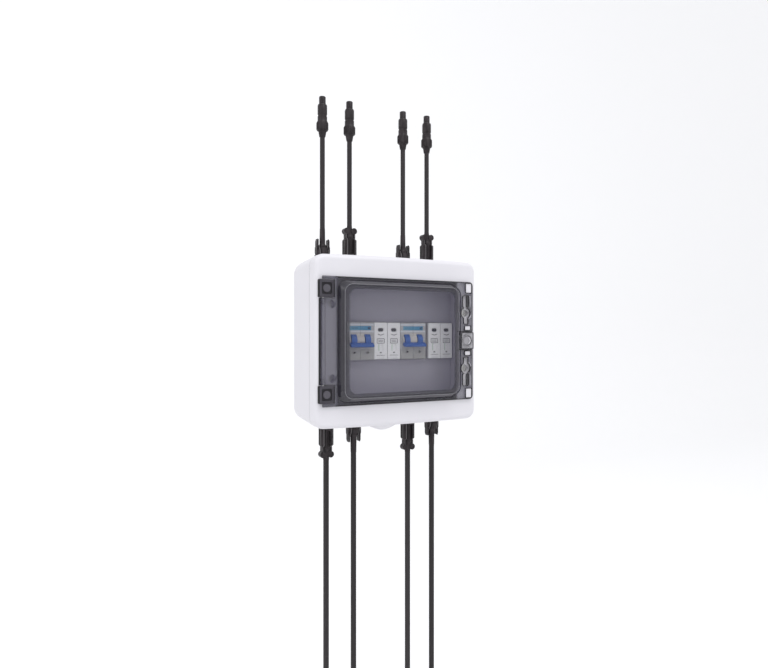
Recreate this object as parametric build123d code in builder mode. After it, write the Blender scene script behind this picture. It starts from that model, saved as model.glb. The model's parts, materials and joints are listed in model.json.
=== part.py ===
from build123d import *
import os
from math import cos, radians, sin

os.makedirs("parts", exist_ok=True)

# Solar combiner box on a wall. Origin at the centre of the back face, +Z up, front towards -Y.
# A depth is the distance in front of the wall, so a point at depth d lies at Y = -d.

# Modules on the rail, and the cut-out that they show through
pole_width = 18.0
module_gap = 4.0
module_play = 0.3
module_half_height = 41.0
module_foot = 10.0
shoulder_depth = 58.0
nose_depth = 69.0
nose_half_height = 22.4
entry_depth = 36.0
entry_size = 8.0
entry_reach = 14.0
terminal_z = 34.0
terminal_radius = 3.2
spare_width = 12.0
cutout_play = 0.3
cutout_half_height = 23.0
module_width = 2 * pole_width
cutout_width = 4 * module_width + module_gap + spare_width + cutout_play

# Enclosure outline
left_margin = 32.5
right_margin = 26.2
box_width = left_margin + cutout_width + right_margin
box_height = 200.0
edge_crown = 1.5
rim_corner = 12.0
back_corner = 17.0
back_inset = 1.6
left_side = -box_width / 2
right_side = box_width / 2
top_side = box_height / 2
cutout_left = left_side + left_margin
cutout_right = right_side - right_margin
module_right = cutout_right - cutout_play

# Base housing
base_depth = 64.0
base_wall = 3.5
back_round = 3.0
tongue_wall = 1.2
tongue_height = 2.5

# Front cover
seam_gap = 0.6
cover_depth = 18.4
cover_back = base_depth + seam_gap
cover_front = cover_back + cover_depth
cover_wall = 2.5
cover_edge_round = 6.0
lip_wall = 1.7
channel_width = 2.6
channel_rib = 1.3
channel_depth = 5.4
gasket_play = 0.1

# Recess behind the door, with the cut-out for the modules in its floor
recess_left = cutout_left - 3.0
recess_right = cutout_right + 1.7
recess_half_height = top_side - 33.5
recess_corner = 9.0
recess_draft = 0.6
panel_front = 63.0

# Cover screws in their wells
left_screw_x = left_side + 20.8
left_screw_z = top_side - 57.4
left_screw_sink = 7.0
right_screw_x = right_side - 17.2
right_screw_z = top_side - 65.0
right_screw_sink = 3.0
well_radius = 4.6
well_wall = 1.8
well_floor = 2.5
screw_head_radius = 4.2
screw_head_height = 3.5
screw_slot_depth = 1.4
screw_radius = 2.0
screw_play = 0.1
post_radius = 4.3
screw_grip = 12.0

# Wall fixing holes
wall_hole_x = right_side - 19.5
wall_hole_z = top_side - 20.0
wall_hole_radius = 2.6
wall_hole_pad = 6.0
wall_hole_pad_height = 1.5

# Mounting rail
rail_seat = 14.0
rail_height = 7.5
rail_sheet = 1.0
rail_width = 35.0
rail_web = 27.0
rail_end_gap = 11.5
rail_length = box_width - 2 * rail_end_gap
rail_back = rail_seat - rail_height
rail_screw_x = 60.0
rail_slot_length = 16.0
rail_slot_width = 5.2
rail_boss_radius = 7.0
pan_head_height = 2.4
stop_half_height = 24.0
stop_depth = 40.0

# Breaker toggles
pivot_depth = 64.0
pivot_z = 0.5
drum_radius = 8.6
drum_length = 7.0
drum_clearance = 0.4
toggle_tilt = -30.0
toggle_reach = 14.0
toggle_root = 4.6
grip_start = 8.0
grip_sheet = 3.4
grip_length = 30.0
cheek_radius = grip_start - 0.6
middle_cheek = 9.8
outer_cheek = 2.8
label_z = 15.5
label_height = 5.0
label_sink = 0.3
mark_z = -13.8

# Surge cartridges
cartridge_back = 30.0
cartridge_play = 0.3
blade_width = 6.0
blade_sheet = 1.0
blade_length = 8.0
blade_z = 13.0
blade_play = 0.3
indicator_z = 13.5
indicator_length = 9.0
indicator_height = 5.0
arch_z = -6.6
arch_width = 6.6
arch_drop = 5.6
face_sink = 0.8

# Smoked door
door_gap = 0.3
door_sheet = 2.5
door_back = cover_front + door_gap
door_front = door_back + door_sheet
door_axis_x = left_side + 8.3
door_right = right_side - 6.5
door_half_height = top_side - 25.4
door_corner = 5.0
barrel_radius = 2.6
barrel_depth = door_back + barrel_radius + 0.1
dome_left = recess_left - 3.3
dome_right = recess_right - 3.3
dome_half_height = recess_half_height + 5.0
dome_slope_run = 5.6
dome_slope_rise = 8.7
dome_bevel_run = 5.6
dome_bevel_rise = 1.5
dome_corner = 13.0
dome_wall = 2.2

# Hinge blocks and pins
hinge_left = left_side + 3.0
hinge_width = 19.0
hinge_z = top_side - 39.75
hinge_height = 20.5
hinge_rise = 6.0
hinge_front = cover_front + hinge_rise
hinge_clearance = 0.6
hinge_frame_depth = 1.2
peg_width = 8.0
peg_height = 6.0
peg_play = 0.2
pin_radius = 1.25
pin_play = 0.05
pin_grip = 0.02
pin_reach = 7.0

# Latch button at the door's free edge
latch_left = recess_right - 1.7
latch_half_height = 11.3
latch_play = 0.3
latch_travel = 1.5
latch_plate = 2.1
latch_floor = 0.8
latch_ring_radius = 7.5
latch_ring_wall = 1.1
latch_ring_rise = 0.6
latch_centre_x = (latch_left + door_right) / 2
latch_leg_z = 6.7
latch_leg_sheet = 2.2
latch_leg_width = 8.0
latch_leg_reach = 6.3
spring_cup_radius = 3.4
spring_cup_wall = 1.0
spring_cup_depth = 6.8
spring_radius = 2.7
spring_wire = 0.35
spring_turns = 4.5
keeper_half_width = 6.2
keeper_half_height = 9.2
keeper_depth = 9.0
spring_cup_floor = door_back - spring_cup_depth
keeper_floor = cover_front - keeper_depth

# Windows in the door's right-hand strip: offset from the screws, width, height and corner
keyhole_radius = 7.0
upper_slot = (0.4, 14.6, 9.6, 16.0, 2.5)
lower_slot = (0.5, -9.5, 7.0, 9.0, 1.5)
small_window = (3.2, -19.0, 9.0, 6.0, 1.0)
corner_window = (4.7, 31.8, 9.2, 12.4, 1.0)

# Door seal
seal_offset = 0.5
seal_width = 1.6
seal_groove = 1.2
seal_play = 0.2
seal_side_play = 0.1

# Panel sockets through the top and bottom walls
outer_socket_x = right_side - 33.9
inner_socket_x = 38.8
socket_x = (-outer_socket_x, -inner_socket_x, inner_socket_x, outer_socket_x)
top_socket_depth = 16.5
bottom_socket_depth = 29.3
pad_rise = 2.0
pad_level = top_side + pad_rise
pad_thickness = 7.0
pad_radius = 12.0
pad_flare = 15.5
shank_radius = 6.0
shank_play = 0.1
nut_across = 17.0
nut_height = 5.0
seal_ring_sheet = 1.0
seal_ring_inset = 0.4
socket_radius = 9.2
flange_sheet = 3.2
prong_barrel_top = 14.0
knob_barrel_top = 28.0
socket_channel = 5.6
channel_level = 8.0
neck_depth = 6.0
neck_play = 0.2
boot_wall = 0.5
arm_width = 8.4
arm_sheet = 1.7
prong_end = 38.0
knob_end = 44.0
knob_radius = 4.0
prong_reach = 8.2
prong_sheet = 2.0
prong_tip = 25.0
knob_offset = 4.9
knob_height = 9.5

# Cables
top_cable_radius = 3.1
bottom_cable_radius = 3.5
top_cable_end = 255.0
bottom_cable_end = -480.0
wire_radius = 1.8
wire_offset = 2.0

# Unused knock-out in the bottom wall
knockout_radius = 24.0
knockout_height = 14.0
knockout_tip = 5.0
knockout_sheet = 2.0

# Earth bar
bar_length = 52.0
bar_z = -module_half_height - 25.0
bar_back = 12.0
bar_sheet = 7.0
bar_height = 8.0
bar_hole_inset = 5.0
bar_standoff_radius = 4.0
bar_screw_x = bar_length / 2 - bar_hole_inset


def depth_plane(depth):
    """Plane parallel to the wall at a depth, with X to the right and Z up, facing the front."""
    return Plane.XZ.offset(depth)


def side_plane(x):
    """Plane across the box at x: its first axis is depth, its second is Z, and it faces -X."""
    return Plane(origin=(x, 0, 0), x_dir=(0, -1, 0), z_dir=(-1, 0, 0))


def crowned_outline(inset, corner):
    """Outline of the enclosure, moved inwards, with gently arched top and bottom edges."""
    half_width = box_width / 2 - inset
    half_height = box_height / 2 - inset
    with BuildSketch() as outline:
        with BuildLine():
            ThreePointArc((-half_width, half_height), (0, half_height + edge_crown), (half_width, half_height))
            Line((half_width, half_height), (half_width, -half_height))
            ThreePointArc((half_width, -half_height), (0, -half_height - edge_crown), (-half_width, -half_height))
            Line((-half_width, -half_height), (-half_width, half_height))
        make_face()
        fillet(outline.vertices(), corner)
    return outline.sketch


def rounded_rectangle(left, right, half_height, corner):
    """Rectangle from left to right, centred on the box's mid-height."""
    with BuildSketch() as shape:
        with Locations(((left + right) / 2, 0)):
            RectangleRounded(right - left, 2 * half_height, corner)
    return shape.sketch


def save(piece, label):
    """Name a finished piece and write it."""
    piece.part.label = label
    export_step(piece.part, f"parts/{label}.step")


screw_places = [
    (left_screw_x, left_screw_z, left_screw_sink),
    (left_screw_x, -left_screw_z, left_screw_sink),
    (right_screw_x, right_screw_z, right_screw_sink),
    (right_screw_x, -right_screw_z, right_screw_sink),
]
socket_places = [(x, top_socket_depth, 1) for x in socket_x]
socket_places += [(x, bottom_socket_depth, -1) for x in socket_x]


def screw_seat(sink):
    """Depth of the face that a cover screw's head rests on."""
    return cover_front - sink - screw_head_height


def socket_frame(x, depth, side):
    """Frame of one panel socket: origin on its outer pad, Z pointing out of the box."""
    return Plane(origin=(x, -depth, side * pad_level), x_dir=(1, 0, 0), z_dir=(0, 0, side))


def profile_plane(frame):
    """Plane through a frame's axis, its first axis radial and its second along the axis."""
    return Plane(origin=frame.origin, x_dir=frame.x_dir, z_dir=frame.x_dir.cross(frame.z_dir))


def spin_axis(frame):
    """Axis along a frame's Z."""
    return Axis(frame.origin, frame.z_dir)


# Base housing: a drafted tub with posts, rail bosses, connector pads and a knock-out dome
with BuildPart() as base_cavity:
    with BuildSketch(depth_plane(base_wall)):
        add(crowned_outline(back_inset + base_wall, back_corner - base_wall))
    with BuildSketch(depth_plane(base_depth)):
        add(crowned_outline(base_wall, rim_corner - base_wall))
    loft()

with BuildPart() as base_housing:
    with BuildSketch(depth_plane(0)):
        add(crowned_outline(back_inset, back_corner))
    with BuildSketch(depth_plane(base_depth)):
        add(crowned_outline(0, rim_corner))
    loft()
    fillet(base_housing.faces().sort_by(Axis.Y)[-1].edges(), back_round)
    # Pads that give each panel socket a flat seat
    for x, depth, side in socket_places:
        with BuildSketch(Plane(origin=(x, -depth, side * (pad_level - 5)), z_dir=(0, 0, side))):
            Circle(pad_flare)
        with BuildSketch(Plane(origin=(x, -depth, side * pad_level), z_dir=(0, 0, side))):
            Circle(pad_radius)
        loft()
    # Knock-out dome under the box
    with BuildSketch(Plane(origin=(0, -bottom_socket_depth, -box_height / 2), x_dir=(1, 0, 0), z_dir=(0, 1, 0))):
        with BuildLine():
            Polyline((0, -4), (knockout_radius, -4), (knockout_radius, 1), (knockout_radius - 3.5, 6.5))
            ThreePointArc(
                (knockout_radius - 3.5, 6.5),
                (knockout_radius - 10, 10.5),
                (knockout_tip, knockout_height),
            )
            Polyline((knockout_tip, knockout_height), (0, knockout_height), (0, -4))
        make_face()
    revolve(axis=Axis((0, -bottom_socket_depth, 0), (0, 0, 1)))
    add(base_cavity.part, mode=Mode.SUBTRACT)
    # Inner seats for the lock nuts
    for x, depth, side in socket_places:
        with BuildSketch(Plane(origin=(x, -depth, side * (pad_level - pad_thickness)), z_dir=(0, 0, side))):
            Circle(pad_radius)
        extrude(amount=pad_thickness - 2)
    # Hollow of the knock-out dome
    with BuildSketch(Plane(origin=(0, -bottom_socket_depth, -box_height / 2), x_dir=(1, 0, 0), z_dir=(0, 1, 0))):
        with BuildLine():
            Polyline((0, -8), (knockout_radius - 5, -8), (knockout_radius - 5, 3.5))
            ThreePointArc(
                (knockout_radius - 5, 3.5),
                (knockout_radius - 11, 7.6),
                (knockout_tip - 1, knockout_height - knockout_sheet),
            )
            Polyline(
                (knockout_tip - 1, knockout_height - knockout_sheet),
                (0, knockout_height - knockout_sheet),
                (0, -8),
            )
        make_face()
    revolve(axis=Axis((0, -bottom_socket_depth, 0), (0, 0, 1)), mode=Mode.SUBTRACT)
    # Bores for the sockets' threaded shanks
    for x, depth, side in socket_places:
        with BuildSketch(Plane(origin=(x, -depth, side * (pad_level - 12)), z_dir=(0, 0, side))):
            Circle(shank_radius + shank_play)
        extrude(amount=14, mode=Mode.SUBTRACT)
    # Tongue on the rim that presses into the gasket
    with BuildSketch(depth_plane(base_depth)):
        add(crowned_outline(base_wall - tongue_wall, rim_corner - base_wall + tongue_wall))
        add(crowned_outline(base_wall, rim_corner - base_wall), mode=Mode.SUBTRACT)
    extrude(amount=tongue_height)
    # Posts for the cover screws
    for x, z, sink in screw_places:
        with BuildSketch(depth_plane(base_wall)):
            with Locations((x, z)):
                Circle(post_radius)
        extrude(amount=screw_seat(sink) - well_floor - seam_gap - base_wall)
        with BuildSketch(depth_plane(screw_seat(sink) - screw_grip - 2)):
            with Locations((x, z)):
                Circle(screw_radius + screw_play)
        extrude(amount=screw_grip + 2, mode=Mode.SUBTRACT)
    # Rail bosses with their pilot holes
    with BuildSketch(depth_plane(base_wall)):
        with GridLocations(2 * rail_screw_x, 1, 2, 1):
            Circle(rail_boss_radius)
    extrude(amount=rail_back - base_wall)
    with BuildSketch(depth_plane(base_wall - 1)):
        with GridLocations(2 * rail_screw_x, 1, 2, 1):
            Circle(screw_radius + screw_play)
    extrude(amount=rail_back, mode=Mode.SUBTRACT)
    # Standoffs for the earth bar
    with BuildSketch(depth_plane(base_wall)):
        with Locations((-bar_screw_x, bar_z), (bar_screw_x, bar_z)):
            Circle(bar_standoff_radius)
    extrude(amount=bar_back - base_wall)
    with BuildSketch(depth_plane(base_wall)):
        with Locations((-bar_screw_x, bar_z), (bar_screw_x, bar_z)):
            Circle(screw_radius + screw_play)
    extrude(amount=bar_back, mode=Mode.SUBTRACT)
    # Wall fixing holes with raised pads
    with BuildSketch(depth_plane(base_wall)):
        with GridLocations(2 * wall_hole_x, 2 * wall_hole_z, 2, 2):
            Circle(wall_hole_pad)
    extrude(amount=wall_hole_pad_height)
    with BuildSketch(depth_plane(0)):
        with GridLocations(2 * wall_hole_x, 2 * wall_hole_z, 2, 2):
            Circle(wall_hole_radius)
    extrude(amount=base_wall + wall_hole_pad_height, mode=Mode.SUBTRACT)
save(base_housing, "base_housing")

# Gasket in the cover's channel
with BuildPart() as cover_gasket:
    with BuildSketch(depth_plane(base_depth + tongue_height)):
        add(crowned_outline(lip_wall + gasket_play, rim_corner - lip_wall))
        add(
            crowned_outline(lip_wall + channel_width - gasket_play, rim_corner - lip_wall - channel_width),
            mode=Mode.SUBTRACT,
        )
    extrude(amount=cover_back + channel_depth - base_depth - tongue_height)
save(cover_gasket, "cover_gasket")

# Space inside the front cover
with BuildPart() as cover_space:
    with BuildSketch(depth_plane(cover_back)):
        add(crowned_outline(cover_wall, rim_corner - cover_wall))
    extrude(amount=cover_front - cover_wall - cover_back)
    fillet(cover_space.faces().sort_by(Axis.Y)[0].edges(), cover_edge_round - cover_wall)

# Front cover: a rounded tray with a deep recess, screw wells, a seal groove and a keeper pocket
with BuildPart() as front_cover:
    with BuildSketch(depth_plane(cover_back)):
        add(crowned_outline(0, rim_corner))
    extrude(amount=cover_front - cover_back)
    fillet(front_cover.faces().sort_by(Axis.Y)[0].edges(), cover_edge_round)
    add(cover_space.part, mode=Mode.SUBTRACT)
    # Channel for the gasket: the lip is thinned and a rib stands inside it
    with BuildSketch(depth_plane(cover_back)):
        add(crowned_outline(lip_wall, rim_corner - lip_wall))
        add(crowned_outline(cover_wall + 1, rim_corner - cover_wall - 1), mode=Mode.SUBTRACT)
    extrude(amount=channel_depth, mode=Mode.SUBTRACT)
    with BuildSketch(depth_plane(cover_back)):
        add(crowned_outline(lip_wall + channel_width, rim_corner - lip_wall - channel_width))
        add(
            crowned_outline(
                lip_wall + channel_width + channel_rib, rim_corner - lip_wall - channel_width - channel_rib
            ),
            mode=Mode.SUBTRACT,
        )
    extrude(amount=channel_depth)
    with BuildSketch(depth_plane(cover_back + channel_depth)):
        add(crowned_outline(cover_wall / 2, rim_corner - cover_wall / 2))
        add(
            crowned_outline(
                lip_wall + channel_width + channel_rib, rim_corner - lip_wall - channel_width - channel_rib
            ),
            mode=Mode.SUBTRACT,
        )
    extrude(amount=channel_rib)
    # Walls and floor of the recess
    with BuildSketch(depth_plane(panel_front - cover_wall)):
        add(
            rounded_rectangle(
                recess_left + recess_draft - cover_wall,
                recess_right - recess_draft + cover_wall,
                recess_half_height - recess_draft + cover_wall,
                recess_corner + cover_wall,
            )
        )
    with BuildSketch(depth_plane(cover_front - cover_wall / 2)):
        add(
            rounded_rectangle(
                recess_left - cover_wall,
                recess_right + cover_wall,
                recess_half_height + cover_wall,
                recess_corner + cover_wall,
            )
        )
    loft()
    # Screw wells and keeper pocket, still solid
    for x, z, sink in screw_places:
        with BuildSketch(depth_plane(screw_seat(sink) - well_floor)):
            with Locations((x, z)):
                Circle(well_radius + well_wall)
        extrude(amount=cover_front - cover_wall / 2 - screw_seat(sink) + well_floor)
    with BuildSketch(depth_plane(keeper_floor - well_wall)):
        with Locations((latch_centre_x, 0)):
            Rectangle(2 * keeper_half_width + 2 * well_wall, 2 * keeper_half_height + 2 * well_wall)
    extrude(amount=cover_front - cover_wall / 2 - keeper_floor + well_wall)
    # Hollow of the recess
    with BuildSketch(depth_plane(panel_front)):
        add(
            rounded_rectangle(
                recess_left + recess_draft,
                recess_right - recess_draft,
                recess_half_height - recess_draft,
                recess_corner,
            )
        )
    with BuildSketch(depth_plane(cover_front)):
        add(rounded_rectangle(recess_left, recess_right, recess_half_height, recess_corner))
    loft(mode=Mode.SUBTRACT)
    # Cut-out for the modules
    with BuildSketch(depth_plane(panel_front - cover_wall)):
        add(rounded_rectangle(cutout_left, cutout_right, cutout_half_height, 1.0))
    extrude(amount=cover_wall, mode=Mode.SUBTRACT)
    # Wells and their screw holes
    for x, z, sink in screw_places:
        with BuildSketch(depth_plane(screw_seat(sink))):
            with Locations((x, z)):
                Circle(well_radius)
        extrude(amount=sink + screw_head_height, mode=Mode.SUBTRACT)
        with BuildSketch(depth_plane(screw_seat(sink) - well_floor)):
            with Locations((x, z)):
                Circle(screw_radius + 0.3)
        extrude(amount=well_floor, mode=Mode.SUBTRACT)
    # Keeper pocket
    with BuildSketch(depth_plane(keeper_floor)):
        with Locations((latch_centre_x, 0)):
            Rectangle(2 * keeper_half_width, 2 * keeper_half_height)
    extrude(amount=cover_front - keeper_floor, mode=Mode.SUBTRACT)
    # Groove for the door seal
    with BuildSketch(depth_plane(cover_front - seal_groove)):
        add(
            rounded_rectangle(
                recess_left - seal_offset - seal_width,
                recess_right + seal_offset + seal_width,
                recess_half_height + seal_offset + seal_width,
                recess_corner + seal_offset + seal_width,
            )
        )
        add(
            rounded_rectangle(
                recess_left - seal_offset,
                recess_right + seal_offset,
                recess_half_height + seal_offset,
                recess_corner + seal_offset,
            ),
            mode=Mode.SUBTRACT,
        )
    extrude(amount=seal_groove, mode=Mode.SUBTRACT)
    # Pockets for the pegs of the hinge blocks
    with BuildSketch(depth_plane(cover_front - cover_wall)):
        with Locations((hinge_left + hinge_width / 2, hinge_z), (hinge_left + hinge_width / 2, -hinge_z)):
            Rectangle(peg_width + 2 * peg_play, peg_height + 2 * peg_play)
    extrude(amount=cover_wall, mode=Mode.SUBTRACT)
save(front_cover, "front_cover")

# Door seal lying in its groove
with BuildPart() as door_seal:
    with BuildSketch(depth_plane(cover_front - seal_groove)):
        add(
            rounded_rectangle(
                recess_left - seal_offset - seal_width + seal_side_play,
                recess_right + seal_offset + seal_width - seal_side_play,
                recess_half_height + seal_offset + seal_width - seal_side_play,
                recess_corner + seal_offset + seal_width - seal_side_play,
            )
        )
        add(
            rounded_rectangle(
                recess_left - seal_offset - seal_side_play,
                recess_right + seal_offset + seal_side_play,
                recess_half_height + seal_offset + seal_side_play,
                recess_corner + seal_offset + seal_side_play,
            ),
            mode=Mode.SUBTRACT,
        )
    extrude(amount=seal_groove + door_gap - seal_play)
save(door_seal, "door_seal")

# Cover screws with cross-slotted heads
with BuildPart() as cover_screws:
    for x, z, sink in screw_places:
        with BuildSketch(depth_plane(screw_seat(sink))):
            with Locations((x, z)):
                Circle(screw_head_radius)
        extrude(amount=screw_head_height)
        with BuildSketch(depth_plane(screw_seat(sink) - screw_grip)):
            with Locations((x, z)):
                Circle(screw_radius)
        extrude(amount=screw_grip)
        with BuildSketch(depth_plane(screw_seat(sink) + screw_head_height - screw_slot_depth)):
            with Locations((x, z)):
                Rectangle(5.6, 1.1)
                Rectangle(1.1, 5.6)
        extrude(amount=screw_slot_depth, mode=Mode.SUBTRACT)
save(cover_screws, "cover_screws")

# Mounting rail, a top-hat section with slots
with BuildPart() as din_rail:
    with BuildSketch(side_plane(rail_length / 2)):
        with BuildLine():
            Polyline(
                (rail_back, -rail_web / 2),
                (rail_back, rail_web / 2),
                (rail_seat - rail_sheet, rail_web / 2),
                (rail_seat - rail_sheet, rail_width / 2),
                (rail_seat, rail_width / 2),
                (rail_seat, rail_web / 2 - rail_sheet),
                (rail_back + rail_sheet, rail_web / 2 - rail_sheet),
                (rail_back + rail_sheet, -rail_web / 2 + rail_sheet),
                (rail_seat, -rail_web / 2 + rail_sheet),
                (rail_seat, -rail_width / 2),
                (rail_seat - rail_sheet, -rail_width / 2),
                (rail_seat - rail_sheet, -rail_web / 2),
                close=True,
            )
        make_face()
    extrude(amount=rail_length)
    with BuildSketch(depth_plane(rail_back)):
        with GridLocations(2 * rail_screw_x / 3, 1, 4, 1):
            SlotOverall(rail_slot_length, rail_slot_width)
    extrude(amount=rail_sheet, mode=Mode.SUBTRACT)
save(din_rail, "mounting_rail")

# Two pan-head screws hold the rail on its bosses
with BuildPart() as rail_screws:
    with BuildSketch(depth_plane(base_wall)):
        with GridLocations(2 * rail_screw_x, 1, 2, 1):
            Circle(screw_radius)
    extrude(amount=rail_back + rail_sheet - base_wall)
    with BuildSketch(depth_plane(rail_back + rail_sheet)):
        with GridLocations(2 * rail_screw_x, 1, 2, 1):
            Circle(screw_head_radius)
    extrude(amount=pan_head_height)
save(rail_screws, "rail_screws")

# Left edges of the modules, from the right end of the cut-out
surge_2_left = module_right - module_width
breaker_2_left = surge_2_left - module_gap - module_width
surge_1_left = breaker_2_left - module_width
breaker_1_left = surge_1_left - module_width


def lever_point(along, across):
    """Point on a toggle's profile, measured from its pivot along and across its lever."""
    tilt = radians(toggle_tilt)
    return (
        pivot_depth + along * cos(tilt) - across * sin(tilt),
        pivot_z + along * sin(tilt) + across * cos(tilt),
    )


def module_rear():
    """Points of a module's rear, from its upper foot to its lower one, hooked on the rail."""
    hook = rail_seat - rail_sheet - module_play
    edge = rail_width / 2 + module_play
    lip = edge - 1.8
    return [
        (module_foot, module_half_height),
        (module_foot, lip),
        (hook, lip),
        (hook, edge),
        (rail_seat, edge),
        (rail_seat, -edge),
        (hook, -edge),
        (hook, -lip),
        (module_foot, -lip),
        (module_foot, -module_half_height),
    ]


def pole_centres(left):
    """Middle of each of the two poles of a module."""
    return [left + pole_width / 2, left + 3 * pole_width / 2]


# Breakers: a stepped housing with drum pockets, terminal holes and a split between the poles
for number, left in ((1, breaker_1_left), (2, breaker_2_left)):
    with BuildPart() as breaker_body:
        with BuildSketch(side_plane(left + module_width - module_play / 2)):
            with BuildLine():
                Polyline(
                    module_rear()
                    + [
                        (shoulder_depth, -module_half_height),
                        (shoulder_depth, -nose_half_height),
                        (nose_depth, -nose_half_height),
                        (nose_depth, nose_half_height),
                        (shoulder_depth, nose_half_height),
                        (shoulder_depth, module_half_height),
                    ],
                    close=True,
                )
            make_face()
        extrude(amount=module_width - module_play)
        for centre in pole_centres(left):
            with BuildSketch(side_plane(centre + drum_length / 2 + drum_clearance)):
                with Locations((pivot_depth, pivot_z)):
                    Circle(drum_radius + drum_clearance)
            extrude(amount=drum_length + 2 * drum_clearance, mode=Mode.SUBTRACT)
            with BuildSketch(depth_plane(nose_depth - 3)):
                with Locations((centre, mark_z)):
                    SlotOverall(4.2, 2.2)
            extrude(amount=3, mode=Mode.SUBTRACT)
            for side in (-1, 1):
                with BuildSketch(Plane(origin=(centre, -entry_depth, side * module_half_height), z_dir=(0, 0, -side))):
                    Rectangle(entry_size, entry_size)
                extrude(amount=entry_reach, mode=Mode.SUBTRACT)
                with BuildSketch(depth_plane(entry_depth)):
                    with Locations((centre, side * terminal_z)):
                        Circle(terminal_radius)
                extrude(amount=shoulder_depth - entry_depth, mode=Mode.SUBTRACT)
        with BuildSketch(depth_plane(nose_depth - label_sink)):
            with Locations((left + pole_width, label_z)):
                Rectangle(module_width - 8, label_height)
        extrude(amount=label_sink, mode=Mode.SUBTRACT)
        with BuildSketch(side_plane(left + pole_width + 0.2)):
            with Locations((nose_depth, 0)):
                Rectangle(1.2, 2 * nose_half_height)
        extrude(amount=0.4, mode=Mode.SUBTRACT)
        # Rounded cheeks between and beside the drums
        for across, width in ((-14.5, outer_cheek), (0, middle_cheek), (14.5, outer_cheek)):
            with BuildSketch(side_plane(left + pole_width + across + width / 2)):
                with Locations((pivot_depth, pivot_z)):
                    Circle(cheek_radius)
            extrude(amount=width)
    save(breaker_body, f"breaker_{number}_body")

    # Ganged toggles: a drum and a tapered lever for each pole, joined by one long grip
    with BuildPart() as breaker_toggle:
        for centre in pole_centres(left):
            with BuildSketch(side_plane(centre + drum_length / 2)):
                with Locations((pivot_depth, pivot_z)):
                    Circle(drum_radius)
                with BuildLine():
                    Polyline(
                        lever_point(0, -toggle_root / 2),
                        lever_point(grip_start + 1, -grip_sheet / 2),
                        lever_point(grip_start + 1, grip_sheet / 2),
                        lever_point(0, toggle_root / 2),
                        close=True,
                    )
                make_face()
            extrude(amount=drum_length)
        with BuildSketch(side_plane(left + pole_width + grip_length / 2)):
            with BuildLine():
                Polyline(
                    lever_point(grip_start, -grip_sheet / 2),
                    lever_point(toggle_reach - 1, -grip_sheet / 2),
                    lever_point(toggle_reach, 1 - grip_sheet / 2),
                    lever_point(toggle_reach, grip_sheet / 2 - 1),
                    lever_point(toggle_reach - 1, grip_sheet / 2),
                    lever_point(grip_start, grip_sheet / 2),
                    close=True,
                )
            make_face()
        extrude(amount=grip_length)
    save(breaker_toggle, f"breaker_{number}_toggle")

# Surge arresters: a U-shaped base on the rail, and two cartridges that plug into it
cartridge_number = 0
for number, left in ((1, surge_1_left), (2, surge_2_left)):
    with BuildPart() as surge_base:
        with BuildSketch(side_plane(left + module_width - module_play / 2)):
            with BuildLine():
                Polyline(
                    module_rear()
                    + [
                        (shoulder_depth, -module_half_height),
                        (shoulder_depth, -nose_half_height - cartridge_play),
                        (cartridge_back - cartridge_play, -nose_half_height - cartridge_play),
                        (cartridge_back - cartridge_play, nose_half_height + cartridge_play),
                        (shoulder_depth, nose_half_height + cartridge_play),
                        (shoulder_depth, module_half_height),
                    ],
                    close=True,
                )
            make_face()
        extrude(amount=module_width - module_play)
        for centre in pole_centres(left):
            with BuildSketch(depth_plane(cartridge_back - blade_length - 1)):
                with Locations((centre, blade_z), (centre, -blade_z)):
                    Rectangle(blade_width + 2 * blade_play, blade_sheet + 2 * blade_play)
            extrude(amount=blade_length + 1, mode=Mode.SUBTRACT)
            for side in (-1, 1):
                with BuildSketch(Plane(origin=(centre, -entry_depth, side * module_half_height), z_dir=(0, 0, -side))):
                    Rectangle(entry_size, entry_size)
                extrude(amount=entry_reach, mode=Mode.SUBTRACT)
                with BuildSketch(depth_plane(entry_depth)):
                    with Locations((centre, side * terminal_z)):
                        Circle(terminal_radius)
                extrude(amount=shoulder_depth - entry_depth, mode=Mode.SUBTRACT)
    save(surge_base, f"surge_base_{number}")

    for centre in pole_centres(left):
        cartridge_number += 1
        with BuildPart() as surge_cartridge:
            with BuildSketch(depth_plane(cartridge_back)):
                with Locations((centre, 0)):
                    Rectangle(pole_width - 2 * cartridge_play, 2 * nose_half_height)
            extrude(amount=nose_depth - cartridge_back)
            fillet(surge_cartridge.faces().sort_by(Axis.Y)[0].edges(), 0.6)
            with BuildSketch(depth_plane(cartridge_back)):
                with Locations((centre, blade_z), (centre, -blade_z)):
                    Rectangle(blade_width, blade_sheet)
            extrude(amount=-blade_length)
            # Sunk state window, and an arched recess for the finger that pulls the cartridge
            with BuildSketch(depth_plane(nose_depth - face_sink)):
                with Locations((centre, indicator_z)):
                    SlotOverall(indicator_length, indicator_height)
                with Locations((centre, arch_z)):
                    Circle(arch_width / 2)
                with Locations((centre, arch_z - arch_drop / 2)):
                    Rectangle(arch_width, arch_drop)
            extrude(amount=face_sink, mode=Mode.SUBTRACT)
        save(surge_cartridge, f"surge_cartridge_{cartridge_number}")

# Clamp screws in every terminal
terminal_centres = []
for left in (breaker_1_left, surge_1_left, breaker_2_left, surge_2_left):
    terminal_centres += pole_centres(left)
with BuildPart() as terminal_screws:
    for centre in terminal_centres:
        for z in (-terminal_z, terminal_z):
            with BuildSketch(depth_plane(entry_depth + wire_radius)):
                with Locations((centre, z)):
                    Circle(screw_radius)
            extrude(amount=9)
            with BuildSketch(depth_plane(entry_depth + wire_radius + 8)):
                with Locations((centre, z)):
                    Circle(terminal_radius - 0.1)
                    Rectangle(5, 0.8, mode=Mode.SUBTRACT)
            extrude(amount=3)
save(terminal_screws, "terminal_screws")

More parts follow.
